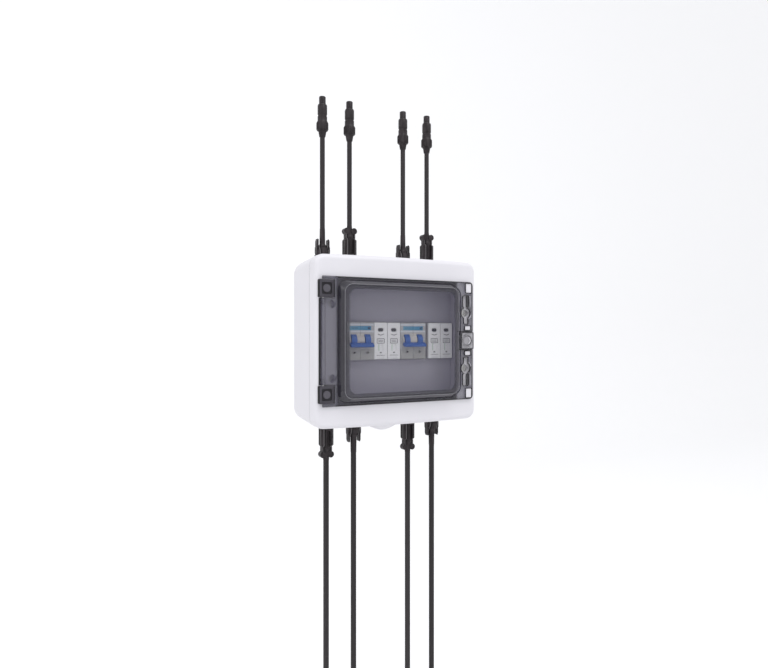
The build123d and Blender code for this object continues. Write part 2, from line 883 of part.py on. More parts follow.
# End stops on the rail, one at each end of the row and one in its gap
stop_width = module_gap - 2 * module_play
with BuildPart() as end_stops:
    for right in (breaker_1_left - module_play, surge_2_left - module_play, module_right + module_play + stop_width):
        with BuildSketch(side_plane(right)):
            with BuildLine():
                rear = module_rear()
                Polyline(
                    [(module_foot, stop_half_height)]
                    + rear[1:9]
                    + [
                        (module_foot, -stop_half_height),
                        (stop_depth - 6, -stop_half_height),
                        (stop_depth, 6 - stop_half_height),
                        (stop_depth, stop_half_height - 6),
                        (stop_depth - 6, stop_half_height),
                    ],
                    close=True,
                )
            make_face()
        extrude(amount=stop_width)
save(end_stops, "end_stops")

# Blanking strip in the unused end of the cut-out
strip_right = breaker_1_left - module_play
with BuildPart() as blanking_strip:
    with BuildSketch(depth_plane(panel_front)):
        with Locations(((cutout_left + 0.3 + strip_right) / 2, 0)):
            Rectangle(strip_right - cutout_left - 0.3, 2 * cutout_half_height + 3)
    extrude(amount=1.5)
    with BuildSketch(depth_plane(panel_front - cover_wall - 2)):
        with Locations(
            ((cutout_left + strip_right) / 2, cutout_half_height - 1.1),
            ((cutout_left + strip_right) / 2, -cutout_half_height + 1.1),
        ):
            Rectangle(6, 1.6)
    extrude(amount=cover_wall + 2)
save(blanking_strip, "blanking_strip")


def dome_sections(shrink, start, rise):
    """Sections of the door's dome: depth, left, right, half height and corner of each."""
    sections = []
    for run, depth in (
        (0, start),
        (dome_slope_run, start + rise),
        (dome_slope_run + dome_bevel_run, start + rise + dome_bevel_rise),
    ):
        inset = shrink + run
        sections.append(
            (
                depth,
                dome_left + inset,
                dome_right - inset,
                dome_half_height - inset,
                dome_corner - shrink - run / 2,
            )
        )
    return sections


# Smoked door: a flat flange with notches and windows, a raised dome and a hinge barrel
barrel_half_length = hinge_z - hinge_height / 2 - hinge_clearance
notch_right = hinge_left + hinge_width + hinge_clearance
with BuildPart() as smoked_door:
    with BuildSketch(depth_plane(door_back)) as flange:
        with Locations(((door_axis_x + door_right) / 2, 0)):
            Rectangle(door_right - door_axis_x, 2 * door_half_height)
        fillet(flange.vertices().group_by(Axis.X)[-1], door_corner)
        with Locations(((door_axis_x + notch_right) / 2, hinge_z), ((door_axis_x + notch_right) / 2, -hinge_z)):
            Rectangle(notch_right - door_axis_x, hinge_height + 2 * hinge_clearance, mode=Mode.SUBTRACT)
    extrude(amount=door_sheet)
    # Barrel along the hinge axis
    with BuildSketch(Plane(origin=(door_axis_x, -barrel_depth, -barrel_half_length), z_dir=(0, 0, 1))):
        Circle(barrel_radius)
    extrude(amount=2 * barrel_half_length)
    # Dome, outside and then inside
    outer = dome_sections(0, door_front, dome_slope_rise)
    inner = dome_sections(dome_wall, door_back, dome_slope_rise + door_sheet - dome_wall)
    for lower, upper in ((outer[0], outer[1]), (outer[1], outer[2])):
        for depth, left, right, half_height, corner in (lower, upper):
            with BuildSketch(depth_plane(depth)):
                add(rounded_rectangle(left, right, half_height, corner))
        loft()
    for lower, upper in ((inner[0], inner[1]), (inner[1], inner[2])):
        for depth, left, right, half_height, corner in (lower, upper):
            with BuildSketch(depth_plane(depth)):
                add(rounded_rectangle(left, right, half_height, corner))
        loft(mode=Mode.SUBTRACT)
    # Pin bores in the ends of the barrel
    with BuildSketch(Plane(origin=(door_axis_x, -barrel_depth, -barrel_half_length), z_dir=(0, 0, 1))):
        Circle(pin_radius + pin_play)
    extrude(amount=pin_reach, mode=Mode.SUBTRACT)
    with BuildSketch(Plane(origin=(door_axis_x, -barrel_depth, barrel_half_length), z_dir=(0, 0, -1))):
        Circle(pin_radius + pin_play)
    extrude(amount=pin_reach, mode=Mode.SUBTRACT)
    # Notch for the latch button, with a thin floor that guides its legs
    with BuildSketch(depth_plane(door_back)):
        with Locations(((latch_left + door_right) / 2 + 2, 0)):
            Rectangle(door_right - latch_left + 4, 2 * latch_half_height)
    extrude(amount=door_sheet, mode=Mode.SUBTRACT)
    with BuildSketch(depth_plane(door_back)):
        with Locations(((latch_left + door_right) / 2, 0)):
            Rectangle(door_right - latch_left, 2 * latch_half_height)
        with Locations((latch_centre_x, latch_leg_z), (latch_centre_x, -latch_leg_z)):
            Rectangle(
                latch_leg_width + 2 * latch_play, latch_leg_sheet + 2 * latch_play, mode=Mode.SUBTRACT
            )
    extrude(amount=latch_floor)
    # Cup that holds the latch spring
    with BuildSketch(depth_plane(spring_cup_floor - spring_cup_wall)):
        with Locations((latch_centre_x, 0)):
            Circle(spring_cup_radius + spring_cup_wall)
    extrude(amount=door_back + latch_floor - spring_cup_floor + spring_cup_wall)
    with BuildSketch(depth_plane(spring_cup_floor)):
        with Locations((latch_centre_x, 0)):
            Circle(spring_cup_radius)
    extrude(amount=door_back + latch_floor - spring_cup_floor, mode=Mode.SUBTRACT)
    # Keyhole windows over the right-hand screws, and plain windows beside them
    with BuildSketch(depth_plane(door_back)):
        for side in (-1, 1):
            with Locations((right_screw_x, side * right_screw_z)):
                Circle(keyhole_radius)
            for across, up, width, height, corner in (upper_slot, lower_slot, small_window, corner_window):
                with Locations((right_screw_x + across, side * (right_screw_z + up))):
                    RectangleRounded(width, height, corner)
    extrude(amount=door_sheet, mode=Mode.SUBTRACT)
save(smoked_door, "smoked_door")

# Latch button: a square plate with a ring, on two legs that reach into the keeper pocket
button_back = door_back + latch_floor + latch_travel + latch_play
button_front = button_back + latch_plate
button_left = latch_left + latch_play
button_right = door_right - 0.2
button_half_height = latch_half_height - latch_play
with BuildPart() as latch_button:
    with BuildSketch(depth_plane(button_back)):
        with Locations(((button_left + button_right) / 2, 0)):
            RectangleRounded(button_right - button_left, 2 * button_half_height, 1.0)
    extrude(amount=latch_plate)
    fillet(latch_button.faces().sort_by(Axis.Y)[0].edges(), 0.5)
    with BuildSketch(depth_plane(button_front)):
        with Locations(((button_left + button_right) / 2, 0)):
            Circle(latch_ring_radius)
            Circle(latch_ring_radius - latch_ring_wall, mode=Mode.SUBTRACT)
    extrude(amount=latch_ring_rise)
    with BuildSketch(depth_plane(door_back - latch_leg_reach)):
        with Locations((latch_centre_x, latch_leg_z), (latch_centre_x, -latch_leg_z)):
            Rectangle(latch_leg_width, latch_leg_sheet)
    extrude(amount=button_back - door_back + latch_leg_reach)
save(latch_button, "latch_button")

# Latch spring, drawn as short as it is when the button is pressed
spring_length = button_back - latch_travel - spring_cup_floor - 2 * spring_wire
with BuildPart() as latch_spring:
    with BuildLine() as coil:
        Helix(
            spring_length / spring_turns,
            spring_length,
            spring_radius,
            center=(latch_centre_x, -spring_cup_floor - spring_wire, 0),
            direction=(0, -1, 0),
        )
    with BuildSketch(Plane(origin=coil.line @ 0, z_dir=coil.line % 0)):
        RegularPolygon(spring_wire, 8)
    sweep(is_frenet=True)
save(latch_spring, "latch_spring")

# Hinge blocks, pegged to the cover, each with a framed round boss and a pin
for name, side in (("upper", 1), ("lower", -1)):
    with BuildPart() as hinge_block:
        with BuildSketch(depth_plane(cover_front)):
            with Locations((hinge_left + hinge_width / 2, side * hinge_z)):
                RectangleRounded(hinge_width, hinge_height, 1.2)
        extrude(amount=hinge_front - cover_front)
        fillet(hinge_block.faces().sort_by(Axis.Y)[0].edges(), 0.8)
        with BuildSketch(depth_plane(hinge_front - hinge_frame_depth)):
            with Locations((hinge_left + 9.0, side * hinge_z)):
                RectangleRounded(12.4, 13.5, 1.5)
                Circle(4.4, mode=Mode.SUBTRACT)
        extrude(amount=hinge_frame_depth, mode=Mode.SUBTRACT)
        with BuildSketch(depth_plane(cover_front)):
            with Locations((hinge_left + hinge_width / 2, side * hinge_z)):
                Rectangle(peg_width, peg_height)
        extrude(amount=-cover_wall - 1.0)
        with BuildSketch(Plane(origin=(door_axis_x, -barrel_depth, side * (hinge_z - hinge_height / 2)), z_dir=(0, 0, side))):
            Circle(pin_radius + pin_grip)
        extrude(amount=pin_reach, mode=Mode.SUBTRACT)
    save(hinge_block, f"hinge_block_{name}")

# Hinge pins, each half in its block and half in the door's barrel
with BuildPart() as hinge_pins:
    for side in (-1, 1):
        with BuildSketch(Plane(origin=(door_axis_x, -barrel_depth, side * (barrel_half_length - pin_reach + 0.4)), z_dir=(0, 0, side))):
            Circle(pin_radius)
        extrude(amount=2 * pin_reach + hinge_clearance - 0.8)
save(hinge_pins, "hinge_pins")

# Panel sockets and cable couplers, prong and knob kinds in turn
socket_names = ["top_1", "top_2", "top_3", "top_4", "bottom_1", "bottom_2", "bottom_3", "bottom_4"]
socket_kinds = ["prong", "knob", "prong", "knob", "knob", "prong", "knob", "prong"]
flange_level = seal_ring_sheet
flange_top = flange_level + flange_sheet
shank_inner = -(pad_thickness + nut_height + 5.0)
tail_inner = shank_inner - 5.0

for label, kind, (x, depth, side) in zip(socket_names, socket_kinds, socket_places):
    frame = socket_frame(x, depth, side)
    cable_radius = top_cable_radius if side > 0 else bottom_cable_radius
    boot_radius = cable_radius + boot_wall
    with BuildPart() as panel_socket:
        with BuildSketch(frame.offset(flange_level)):
            RegularPolygon(socket_radius, 6, major_radius=False)
        extrude(amount=flange_top - flange_level)
        with BuildSketch(profile_plane(frame)):
            with BuildLine():
                if kind == "prong":
                    Polyline(
                        (0, flange_level),
                        (0, prong_barrel_top),
                        (socket_radius - 1.9, prong_barrel_top),
                        (socket_radius, flange_top + 3.5),
                        (socket_radius, flange_level),
                        close=True,
                    )
                else:
                    Polyline(
                        (0, flange_level),
                        (0, knob_barrel_top),
                        (socket_radius - 2.2, knob_barrel_top),
                        (socket_radius, knob_barrel_top - 2.2),
                        (socket_radius, flange_level),
                        close=True,
                    )
            make_face()
            with BuildLine():
                Polyline(
                    (0, flange_level + 1),
                    (shank_radius, flange_level + 1),
                    (shank_radius, shank_inner),
                    (3.4, shank_inner),
                    (3.4, tail_inner),
                    (0, tail_inner),
                    close=True,
                )
            make_face()
        revolve(axis=spin_axis(frame))
        # Socket mouth that takes the coupler's neck
        barrel_top = prong_barrel_top if kind == "prong" else knob_barrel_top
        neck_radius = boot_radius + 1.4
        with BuildSketch(frame.offset(barrel_top - neck_depth)):
            Circle(neck_radius + neck_play)
        extrude(amount=neck_depth, mode=Mode.SUBTRACT)
        # Flats on both sides, where the coupler's arms lie
        with BuildSketch(frame.offset(flange_top + 2)):
            with Locations((socket_radius, 0), (-socket_radius, 0)):
                Rectangle(2 * arm_sheet, arm_width)
        extrude(amount=barrel_top, mode=Mode.SUBTRACT)
        if kind == "knob":
            # Channels in the front and back of the long barrel
            with BuildSketch(frame.offset(channel_level)):
                with Locations((0, socket_radius), (0, -socket_radius)):
                    Rectangle(socket_channel, 2 * (socket_radius - neck_radius))
            extrude(amount=barrel_top, mode=Mode.SUBTRACT)
    save(panel_socket, f"panel_socket_{label}")

    with BuildPart() as cable_coupler:
        coupler_end = prong_end if kind == "prong" else knob_end
        with BuildSketch(profile_plane(frame)):
            with BuildLine():
                Polyline(
                    (0, barrel_top - neck_depth),
                    (neck_radius, barrel_top - neck_depth),
                    (neck_radius, barrel_top + 2),
                    (boot_radius, barrel_top + 5),
                    (cable_radius + 0.2, coupler_end),
                    (0, coupler_end),
                    close=True,
                )
            make_face()
        revolve(axis=spin_axis(frame))
        if kind == "prong":
            # A bridge across the neck carries two pointed prongs
            with BuildSketch(frame.offset(barrel_top + neck_play)):
                Rectangle(2 * prong_reach, arm_width - 0.8)
            extrude(amount=2.4)
            for across in (-1, 1):
                with BuildSketch(profile_plane(frame)):
                    with BuildLine():
                        Polyline(
                            (across * prong_reach, barrel_top + neck_play),
                            (across * prong_reach, prong_tip - 3),
                            (across * (prong_reach - 0.9), prong_tip),
                            (across * (prong_reach - prong_sheet), prong_tip - 1),
                            (across * (prong_reach - prong_sheet), barrel_top + neck_play),
                            close=True,
                        )
                    make_face()
                extrude(amount=arm_width / 2 - 0.4, both=True)
        else:
            # A bridge across the neck carries two arms that end in round knobs
            with BuildSketch(frame.offset(barrel_top + neck_play)):
                Rectangle(13.2, arm_width - 1.4)
            extrude(amount=knob_height - 2)
            with BuildSketch(profile_plane(frame)):
                with Locations((knob_offset, barrel_top + knob_height), (-knob_offset, barrel_top + knob_height)):
                    Circle(knob_radius)
            extrude(amount=arm_width / 2, both=True)
    save(cable_coupler, f"cable_coupler_{label}")

    end_level = abs(top_cable_end if side > 0 else bottom_cable_end) - pad_level
    with BuildPart() as cable:
        with BuildSketch(frame.offset(coupler_end)):
            Circle(cable_radius)
        extrude(amount=end_level - coupler_end)
    save(cable, f"cable_{label}")

# Sealing rings under the socket flanges
with BuildPart() as socket_seals:
    for x, depth, side in socket_places:
        with BuildSketch(socket_frame(x, depth, side)):
            Circle(socket_radius - seal_ring_inset)
            Circle(shank_radius + 0.1, mode=Mode.SUBTRACT)
        extrude(amount=seal_ring_sheet)
save(socket_seals, "socket_seals")

# Lock nuts on the shanks, inside the box
with BuildPart() as socket_nuts:
    for x, depth, side in socket_places:
        with BuildSketch(socket_frame(x, depth, side).offset(-pad_thickness - nut_height)):
            RegularPolygon(nut_across / 2, 6, major_radius=False)
            Circle(shank_radius + shank_play, mode=Mode.SUBTRACT)
        extrude(amount=nut_height)
save(socket_nuts, "socket_nuts")

# Connectors at the far ends of the cables
for label, side, cable_radius, end in (
    ("top_end_connectors", 1, top_cable_radius, top_cable_end),
    ("bottom_end_connectors", -1, bottom_cable_radius, bottom_cable_end),
):
    depth = top_socket_depth if side > 0 else bottom_socket_depth
    with BuildPart() as end_connectors:
        for x in socket_x:
            frame = Plane(origin=(x, -depth, end), x_dir=(1, 0, 0), z_dir=(0, 0, side))
            with BuildSketch(profile_plane(frame)):
                with BuildLine():
                    Polyline(
                        (0, 0),
                        (cable_radius + 0.6, 0),
                        (cable_radius + 1.6, 6),
                        (7.6, 8),
                        (7.6, 18),
                        (6.4, 20),
                        (6.4, 40),
                        (4.2, 41),
                        (4.2, 50),
                        (2.2, 50),
                        (2.2, 42),
                        (0, 42),
                        close=True,
                    )
                make_face()
            revolve(axis=spin_axis(frame))
    save(end_connectors, label)


def routed_wire(points, radius, bend):
    """A wire along straight runs joined by arcs."""
    with BuildPart() as wire:
        with BuildLine() as path:
            FilletPolyline(points, radius=bend)
        with BuildSketch(Plane(origin=path.line @ 0, z_dir=path.line % 0)):
            Circle(radius)
        sweep()
    return wire.part


# Inner wires between the sockets and the breakers
breaker_centres = pole_centres(breaker_1_left) + pole_centres(breaker_2_left)
surge_centres = pole_centres(surge_1_left) + pole_centres(surge_2_left)
for label, side, depth in (("supply_wires", 1, top_socket_depth), ("load_wires", -1, bottom_socket_depth)):
    with BuildPart() as inner_wires:
        for x, centre in zip(socket_x, breaker_centres):
            points = [
                (x, -depth, side * (pad_level + tail_inner)),
                (x, -depth, side * (pad_level + tail_inner - 10)),
                (centre - wire_offset, -entry_depth, side * (module_half_height + 16)),
                (centre - wire_offset, -entry_depth, side * terminal_z),
            ]
            add(routed_wire(points, wire_radius, 7))
    save(inner_wires, label)

# Links from the breakers' upper terminals to the surge arresters
with BuildPart() as link_wires:
    for first in (0, 2):
        near_start = breaker_centres[first + 1] + wire_offset
        near_end = surge_centres[first]
        far_start = breaker_centres[first] + wire_offset
        far_end = surge_centres[first + 1]
        add(
            routed_wire(
                [
                    (near_start, -entry_depth, terminal_z),
                    (near_start, -entry_depth, module_half_height + 8),
                    (near_end, -entry_depth, module_half_height + 8),
                    (near_end, -entry_depth, terminal_z),
                ],
                wire_radius,
                5,
            )
        )
        add(
            routed_wire(
                [
                    (far_start, -entry_depth, terminal_z),
                    (far_start, -entry_depth, module_half_height + 5),
                    (far_start, -entry_depth - 11, module_half_height + 13),
                    (far_end, -entry_depth - 11, module_half_height + 13),
                    (far_end, -entry_depth, module_half_height + 5),
                    (far_end, -entry_depth, terminal_z),
                ],
                wire_radius,
                4,
            )
        )
save(link_wires, "link_wires")

with BuildPart() as earth_wires:
    bar_mid = -bar_back - bar_sheet / 2
    bar_top = bar_z + bar_height / 2
    for start_x, bar_x in ((surge_centres[1], -8.0), (surge_centres[2], 12.0)):
        add(
            routed_wire(
                [
                    (start_x, -entry_depth, -terminal_z),
                    (start_x, -entry_depth, -module_half_height - 8),
                    (bar_x, bar_mid, bar_top + 12),
                    (bar_x, bar_mid, bar_top),
                ],
                wire_radius,
                4,
            )
        )
save(earth_wires, "earth_wires")

# Earth bar with clamp screws
with BuildPart() as earth_bar:
    with BuildSketch(depth_plane(bar_back)):
        with Locations((0, bar_z)):
            Rectangle(bar_length, bar_height)
        with Locations((-bar_screw_x, bar_z), (bar_screw_x, bar_z)):
            Circle(screw_radius + screw_play, mode=Mode.SUBTRACT)
    extrude(amount=bar_sheet)
save(earth_bar, "earth_bar")

with BuildPart() as earth_bar_screws:
    for x in (-bar_screw_x, bar_screw_x):
        with BuildSketch(depth_plane(base_wall)):
            with Locations((x, bar_z)):
                Circle(screw_radius)
        extrude(amount=bar_back + bar_sheet - base_wall)
        with BuildSketch(depth_plane(bar_back + bar_sheet)):
            with Locations((x, bar_z)):
                Circle(bar_height / 2 - 0.4)
        extrude(amount=pan_head_height)
save(earth_bar_screws, "earth_bar_screws")
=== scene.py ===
# %% [markdown]
# # A solar combiner box, dressed in Blender
# The object is a white plastic enclosure on a wall. A smoked door shows breakers and surge
# arresters, and eight dark cables plug into its top and bottom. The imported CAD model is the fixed
# frame: it gives every place and size, and this lesson adds the finishes, the small repeated parts
# and the cables. The front looks along -Y and +Z is up. Blender counts in metres, but sizes are
# easier to read in millimetres, so `at` and `MM` turn one into the other.

# %% Load the frame
import json
import math

import bmesh
import bpy
from mathutils import Matrix, Vector


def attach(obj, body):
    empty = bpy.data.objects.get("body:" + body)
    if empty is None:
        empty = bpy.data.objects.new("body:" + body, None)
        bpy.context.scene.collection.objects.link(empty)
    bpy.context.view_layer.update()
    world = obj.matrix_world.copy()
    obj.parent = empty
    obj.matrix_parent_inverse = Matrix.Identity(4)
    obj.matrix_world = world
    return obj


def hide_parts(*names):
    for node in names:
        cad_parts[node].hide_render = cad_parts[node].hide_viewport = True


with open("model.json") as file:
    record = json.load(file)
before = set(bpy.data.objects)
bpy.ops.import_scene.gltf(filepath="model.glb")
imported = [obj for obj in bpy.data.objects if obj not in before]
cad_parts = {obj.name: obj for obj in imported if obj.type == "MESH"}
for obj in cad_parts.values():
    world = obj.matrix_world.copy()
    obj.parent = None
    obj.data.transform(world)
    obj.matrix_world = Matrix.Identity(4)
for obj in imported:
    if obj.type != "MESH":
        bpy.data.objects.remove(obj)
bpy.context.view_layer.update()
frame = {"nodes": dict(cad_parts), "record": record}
nodes = frame["nodes"]
MM = 0.001


def at(x, depth, z):
    """A point given in millimetres: to the right, in front of the wall, and up."""
    return Vector((x, -depth, z)) * MM


def placed(name, data):
    """A new object of the scene, at the origin."""
    made = bpy.data.objects.new(name, data)
    bpy.context.scene.collection.objects.link(made)
    return made


# %% [markdown]
# ## The camera
# The photograph is taken from the left of the box, level with its middle. The place, the turn and
# the lens come from a fit on the box's corners, so the render lines up with the photograph. A
# camera looks along its own -Z, so a quarter turn about X makes it level, and a turn about Z aims
# it.

# %% Camera
camera_data = bpy.data.cameras.new("camera")
camera_data.sensor_width = 36.0
camera_data.lens = 28.125
camera_data.clip_start = 0.01
camera = placed("camera", camera_data)
camera.location = at(-342.8, 722.3, 8.43)
camera.rotation_euler = (math.radians(90), 0, math.radians(-26.6))
bpy.context.scene.camera = camera
print("camera at", [round(v, 3) for v in camera.location])

# %% [markdown]
# ## The cables
# Each cable leaves its coupler and runs straight: up behind the roof, or down to the next device.
# They are held taut at both ends, so a straight spline is true to them. Each is an open NURBS
# curve with a round bevel, which keeps a real centre line for its length. Each socket has its
# place, its kind of coupler and a side, 1 above the box or -1 below it, which is the sign of Z.

# %% Cables
socket_places = {
    "top_1": (-75.6, 16.5, "prong", 1), "top_2": (-38.8, 16.5, "knob", 1),
    "top_3": (38.8, 16.5, "prong", 1), "top_4": (75.6, 16.5, "knob", 1),
    "bottom_1": (-75.6, 29.3, "knob", -1), "bottom_2": (-38.8, 29.3, "prong", -1),
    "bottom_3": (38.8, 29.3, "knob", -1), "bottom_4": (75.6, 29.3, "prong", -1),
}
cable_radius = {1: 3.1, -1: 3.5}
cable_start = {"prong": 140.0, "knob": 146.0}
cable_end = {1: 255.0, -1: 480.0}
cable_lead = 20.0


def straight_cable(name, points, radius):
    """An open NURBS curve of order 3 with a round section."""
    curve = bpy.data.curves.new(name, "CURVE")
    curve.dimensions = "3D"
    curve.bevel_depth = radius * MM
    curve.bevel_resolution = 6
    curve.use_fill_caps = True
    spline = curve.splines.new("NURBS")
    spline.points.add(len(points) - 1)
    for control, point in zip(spline.points, points):
        control.co = (*point, 1.0)
    spline.order_u = 3
    spline.use_endpoint_u = True
    return placed(name, curve)


cables, cable_length = {}, {}
for place, (x, depth, kind, side) in socket_places.items():
    near, far = cable_start[kind], cable_end[side]
    levels = (near, near + cable_lead, far - cable_lead, far)
    route = [at(x, depth, side * level) for level in levels]
    cables[place] = straight_cable(f"sheathed_cable_{place}", route, cable_radius[side])
    cable_length[place] = far - near
shortest, longest = min(cable_length.values()), max(cable_length.values())
print(f"{len(cables)} cables, {shortest:.0f} to {longest:.0f} mm long")

# %% [markdown]
# ## Writing materials as sums
# A finish is a chain of small calculations on the place of a point. Written out as nodes it is
# long, so one class wraps a socket: `+`, `-`, `*` and the comparisons add Math nodes, and `node`
# adds any other kind. A comparison gives a mask that is 1 inside and 0 outside.

# %% Signal


class Signal:
    """One output of a node tree, used like a number."""

    def __init__(self, tree, socket=None):
        self.tree = tree
        self.socket = socket

    def node(self, kind, settings=None, inputs=None, output=0):
        """Any node: its settings first, then the values or links of its sockets."""
        made = self.tree.nodes.new(kind)
        for name, value in (settings or {}).items():
            setattr(made, name, value)
        for name, value in (inputs or {}).items():
            if isinstance(value, Signal):
                self.tree.links.new(value.socket, made.inputs[name])
            else:
                made.inputs[name].default_value = value
        return Signal(self.tree, made.outputs[output])

    def math(self, operation, first, second=0.0):
        return self.node("ShaderNodeMath", {"operation": operation}, {0: first, 1: second})

    def __add__(self, other):
        return self.math("ADD", self, other)

    def __sub__(self, other):
        return self.math("SUBTRACT", self, other)

    def __rsub__(self, other):
        return self.math("SUBTRACT", other, self)

    def __mul__(self, other):
        return self.math("MULTIPLY", self, other)

    def __truediv__(self, other):
        return self.math("DIVIDE", self, other)

    def __gt__(self, other):
        return self.math("GREATER_THAN", self, other)

    def __lt__(self, other):
        return self.math("LESS_THAN", self, other)

    def __pow__(self, other):
        return self.math("POWER", self, other)

    def __abs__(self):
        return self.math("ABSOLUTE", self)

    def most(self, other):
        return self.math("MAXIMUM", self, other)

    def least(self, other):
        return self.math("MINIMUM", self, other)

    __radd__ = __add__
    __rmul__ = __mul__


def new_finish(name, **constants):
    """A material with its Principled shader, and a Signal to start expressions from."""
    material = bpy.data.materials.new(name)
    material.use_nodes = True
    shader = material.node_tree.nodes["Principled BSDF"]
    for socket, value in constants.items():
        shader.inputs[socket.replace("_", " ")].default_value = value
    return material, shader, Signal(material.node_tree)


def feed(shader, **links):
    """Link signals to the shader's sockets."""
    for socket, signal in links.items():
        signal.tree.links.new(signal.socket, shader.inputs[socket.replace("_", " ")])


def position(start):
    """The point's own X, Y and Z in millimetres, as three signals."""
    place = start.node("ShaderNodeTexCoord", output="Object")
    split = start.node("ShaderNodeSeparateXYZ", None, {0: place})
    axes = [Signal(start.tree, output) for output in split.socket.node.outputs]
    return [axis * 1000.0 for axis in axes]


def facing_front(start):
    """1 where a face looks straight ahead or back, falling to 0 where it is seen edge-on."""
    normal = start.node("ShaderNodeTexCoord", output="Normal")
    return abs(start.node("ShaderNodeSeparateXYZ", None, {0: normal}, output=1))


def box_distance(x, z, middle, half_size, corner):
    """Distance to the edge of a rounded rectangle in the XZ plane, negative inside it."""
    across = abs(x - middle[0]) - (half_size[0] - corner)
    along = abs(z - middle[1]) - (half_size[1] - corner)
    outside = (across.most(0.0) ** 2.0 + along.most(0.0) ** 2.0) ** 0.5
    return outside + across.most(along).least(0.0) - corner


def round_distance(x, z, middle, radius):
    """Distance to the edge of a circle in the XZ plane, negative inside it."""
    return ((x - middle[0]) ** 2.0 + (z - middle[1]) ** 2.0) ** 0.5 - radius


def inside(distance, softness=0.3):
    """A mask that is 1 where a distance is negative, with a soft edge in millimetres."""
    ramp = 0.5 - distance / softness
    return ramp.most(0.0).least(1.0)


def line(distance, width):
    """A mask that is 1 on a line of a width, along the edge that a distance is measured from."""
    return abs(distance) < width / 2


def noise(start, scale, detail=2.0, stretch=(1.0, 1.0, 1.0)):
    """Soft noise from 0 to 1. A scale of 1000 gives grains of about a millimetre."""
    place = start.node("ShaderNodeTexCoord", output="Object")
    place = start.node("ShaderNodeMapping", None, {"Vector": place, "Scale": stretch})
    settled = {"Vector": place, "Scale": scale, "Detail": detail}
    return start.node("ShaderNodeTexNoise", None, settled)


def blend_colour(start, mask, first, second):
    """The first colour where the mask is 0, the second where it is 1."""
    settled = {0: mask, 6: first, 7: second}
    return start.node("ShaderNodeMix", {"data_type": "RGBA"}, settled, output=2)


def painted(start, colour, *layers):
    """A colour with layers over it, each a mask and the colour that it brings."""
    for mask, paint in layers:
        colour = blend_colour(start, mask, colour, paint)
    return colour


def bumped(start, height, depth_mm):
    """A normal tilted by a height signal, in millimetres at a height of 1."""
    settled = {"Height": height, "Distance": depth_mm * MM, "Strength": 1.0}
    return start.node("ShaderNodeBump", None, settled)


def grey(value, warmth=0.0):
    """An opaque grey, a little redder where its warmth is above 0."""
    return (value * (1 + warmth), value, value * (1 - warmth), 1.0)


print("expression class ready")

# %% [markdown]
# ## White moulded plastic
# The enclosure is injection-moulded in white with a satin skin: nearly even in colour, with a very
# fine spark-eroded texture and a slightly uneven gloss where the melt flowed. Noise drives all
# three. The panel in the recess behind the door is white too, but it is given a darker grey as
# painted shade, for the shade that falls in the recess, so the modules stand out from it. A
# rounded rectangle and the depth mask it.

# %% White plastic
white_plastic, shader, start = new_finish("white_plastic", IOR=1.46)
x, y, z = position(start)
flow = noise(start, 18.0, 3.0)
grain = noise(start, 2400.0, 2.0)
recess_outline = ((2.5, 0.0), (82.7, 66.7), 9.0)
recess_front, recess_floor = -82.4, -20.0
# Painted shade: the recess mask gives the panel a darker grey.
shaded_recess = inside(box_distance(x, z, *recess_outline), 0.4)
shaded_recess = shaded_recess * (y > recess_front) * (y < recess_floor)
skin = blend_colour(start, flow, (0.645, 0.635, 0.668, 1), (0.675, 0.665, 0.698, 1))
feed(
    shader,
    Base_Color=blend_colour(start, shaded_recess, skin, (0.365, 0.355, 0.405, 1)),
    Roughness=0.34 + 0.10 * flow + 0.06 * grain,
    Normal=bumped(start, grain, 0.012),
)
print("white plastic:", len(white_plastic.node_tree.nodes), "shader nodes")

# %% [markdown]
# ## Smoked polycarbonate
# The door is a tinted clear sheet. What lies behind shows through, dimmer, and the dimming grows
# where a wall is seen edge-on, as on the dome's slopes and round the cut-outs. The sheet is also
# darker in a frame all round the raised pane, most on the right: this frame is painted shade, for
# the shaded walls of the recess behind the dome. The sheet is a little darker in the strip beside
# the hinges and a little clearer in the strip beside the latch. Alpha does this: distances to two
# rounded rectangles give the frame, and the normal gives the tilt.

# %% Smoked door
smoked_plastic, shader, start = new_finish(
    "smoked_plastic", IOR=1.50, Coat_Weight=0.2, Coat_Roughness=0.03
)
x, y, z = position(start)
tilt = 1 - facing_front(start)
haze = noise(start, 30.0, 3.0)
pane_outline = ((-0.8, 0.0), (71.3, 60.3), 9.0)
frame_outline = ((-2.0, 0.0), (81.6, 76.0), 3.0)
frame_left, right_bar, frame_right = -83.6, 70.0, 79.6
pane = inside(box_distance(x, z, *pane_outline), 1.2)
frame_edge = inside(box_distance(x, z, *frame_outline), 1.6)
# Painted shade: a darker, more opaque frame round the pane.
shaded_frame = frame_edge * (1 - pane) * (0.26 + 0.06 * (x > right_bar))
sheet = 0.29 + 0.03 * (x < frame_left) - 0.04 * (x > frame_right)
# The painted shade of the frame and the darker slopes darken the colour together.
dark_and_shaded_part = (tilt + 3.5 * shaded_frame).least(1.0)
feed(
    shader,
    Base_Color=blend_colour(start, dark_and_shaded_part, (0.055, 0.050, 0.090, 1), (0.026, 0.024, 0.033, 1)),
    Alpha=(sheet - 0.15 * pane + shaded_frame + 0.55 * tilt + 0.02 * haze).least(0.97),
    Roughness=0.05 + 0.04 * haze,
)
print("smoked plastic:", len(smoked_plastic.node_tree.nodes), "shader nodes")

# %% [markdown]
# ## The latch button and the trim of the door
# The button is moulded from a paler smoke, so it stands out from the door. Thin dark inserts close
# the keyhole openings over the cover screws, and the rims and bends of the sheet look nearly black.
# The same dark sheet also paints the shadow in each keyhole slot, and a pale sheet paints the
# glints, painted highlights on a few edges. All four are clear sheets, so one recipe with fewer
# sums serves them.

# %% Small smoked parts


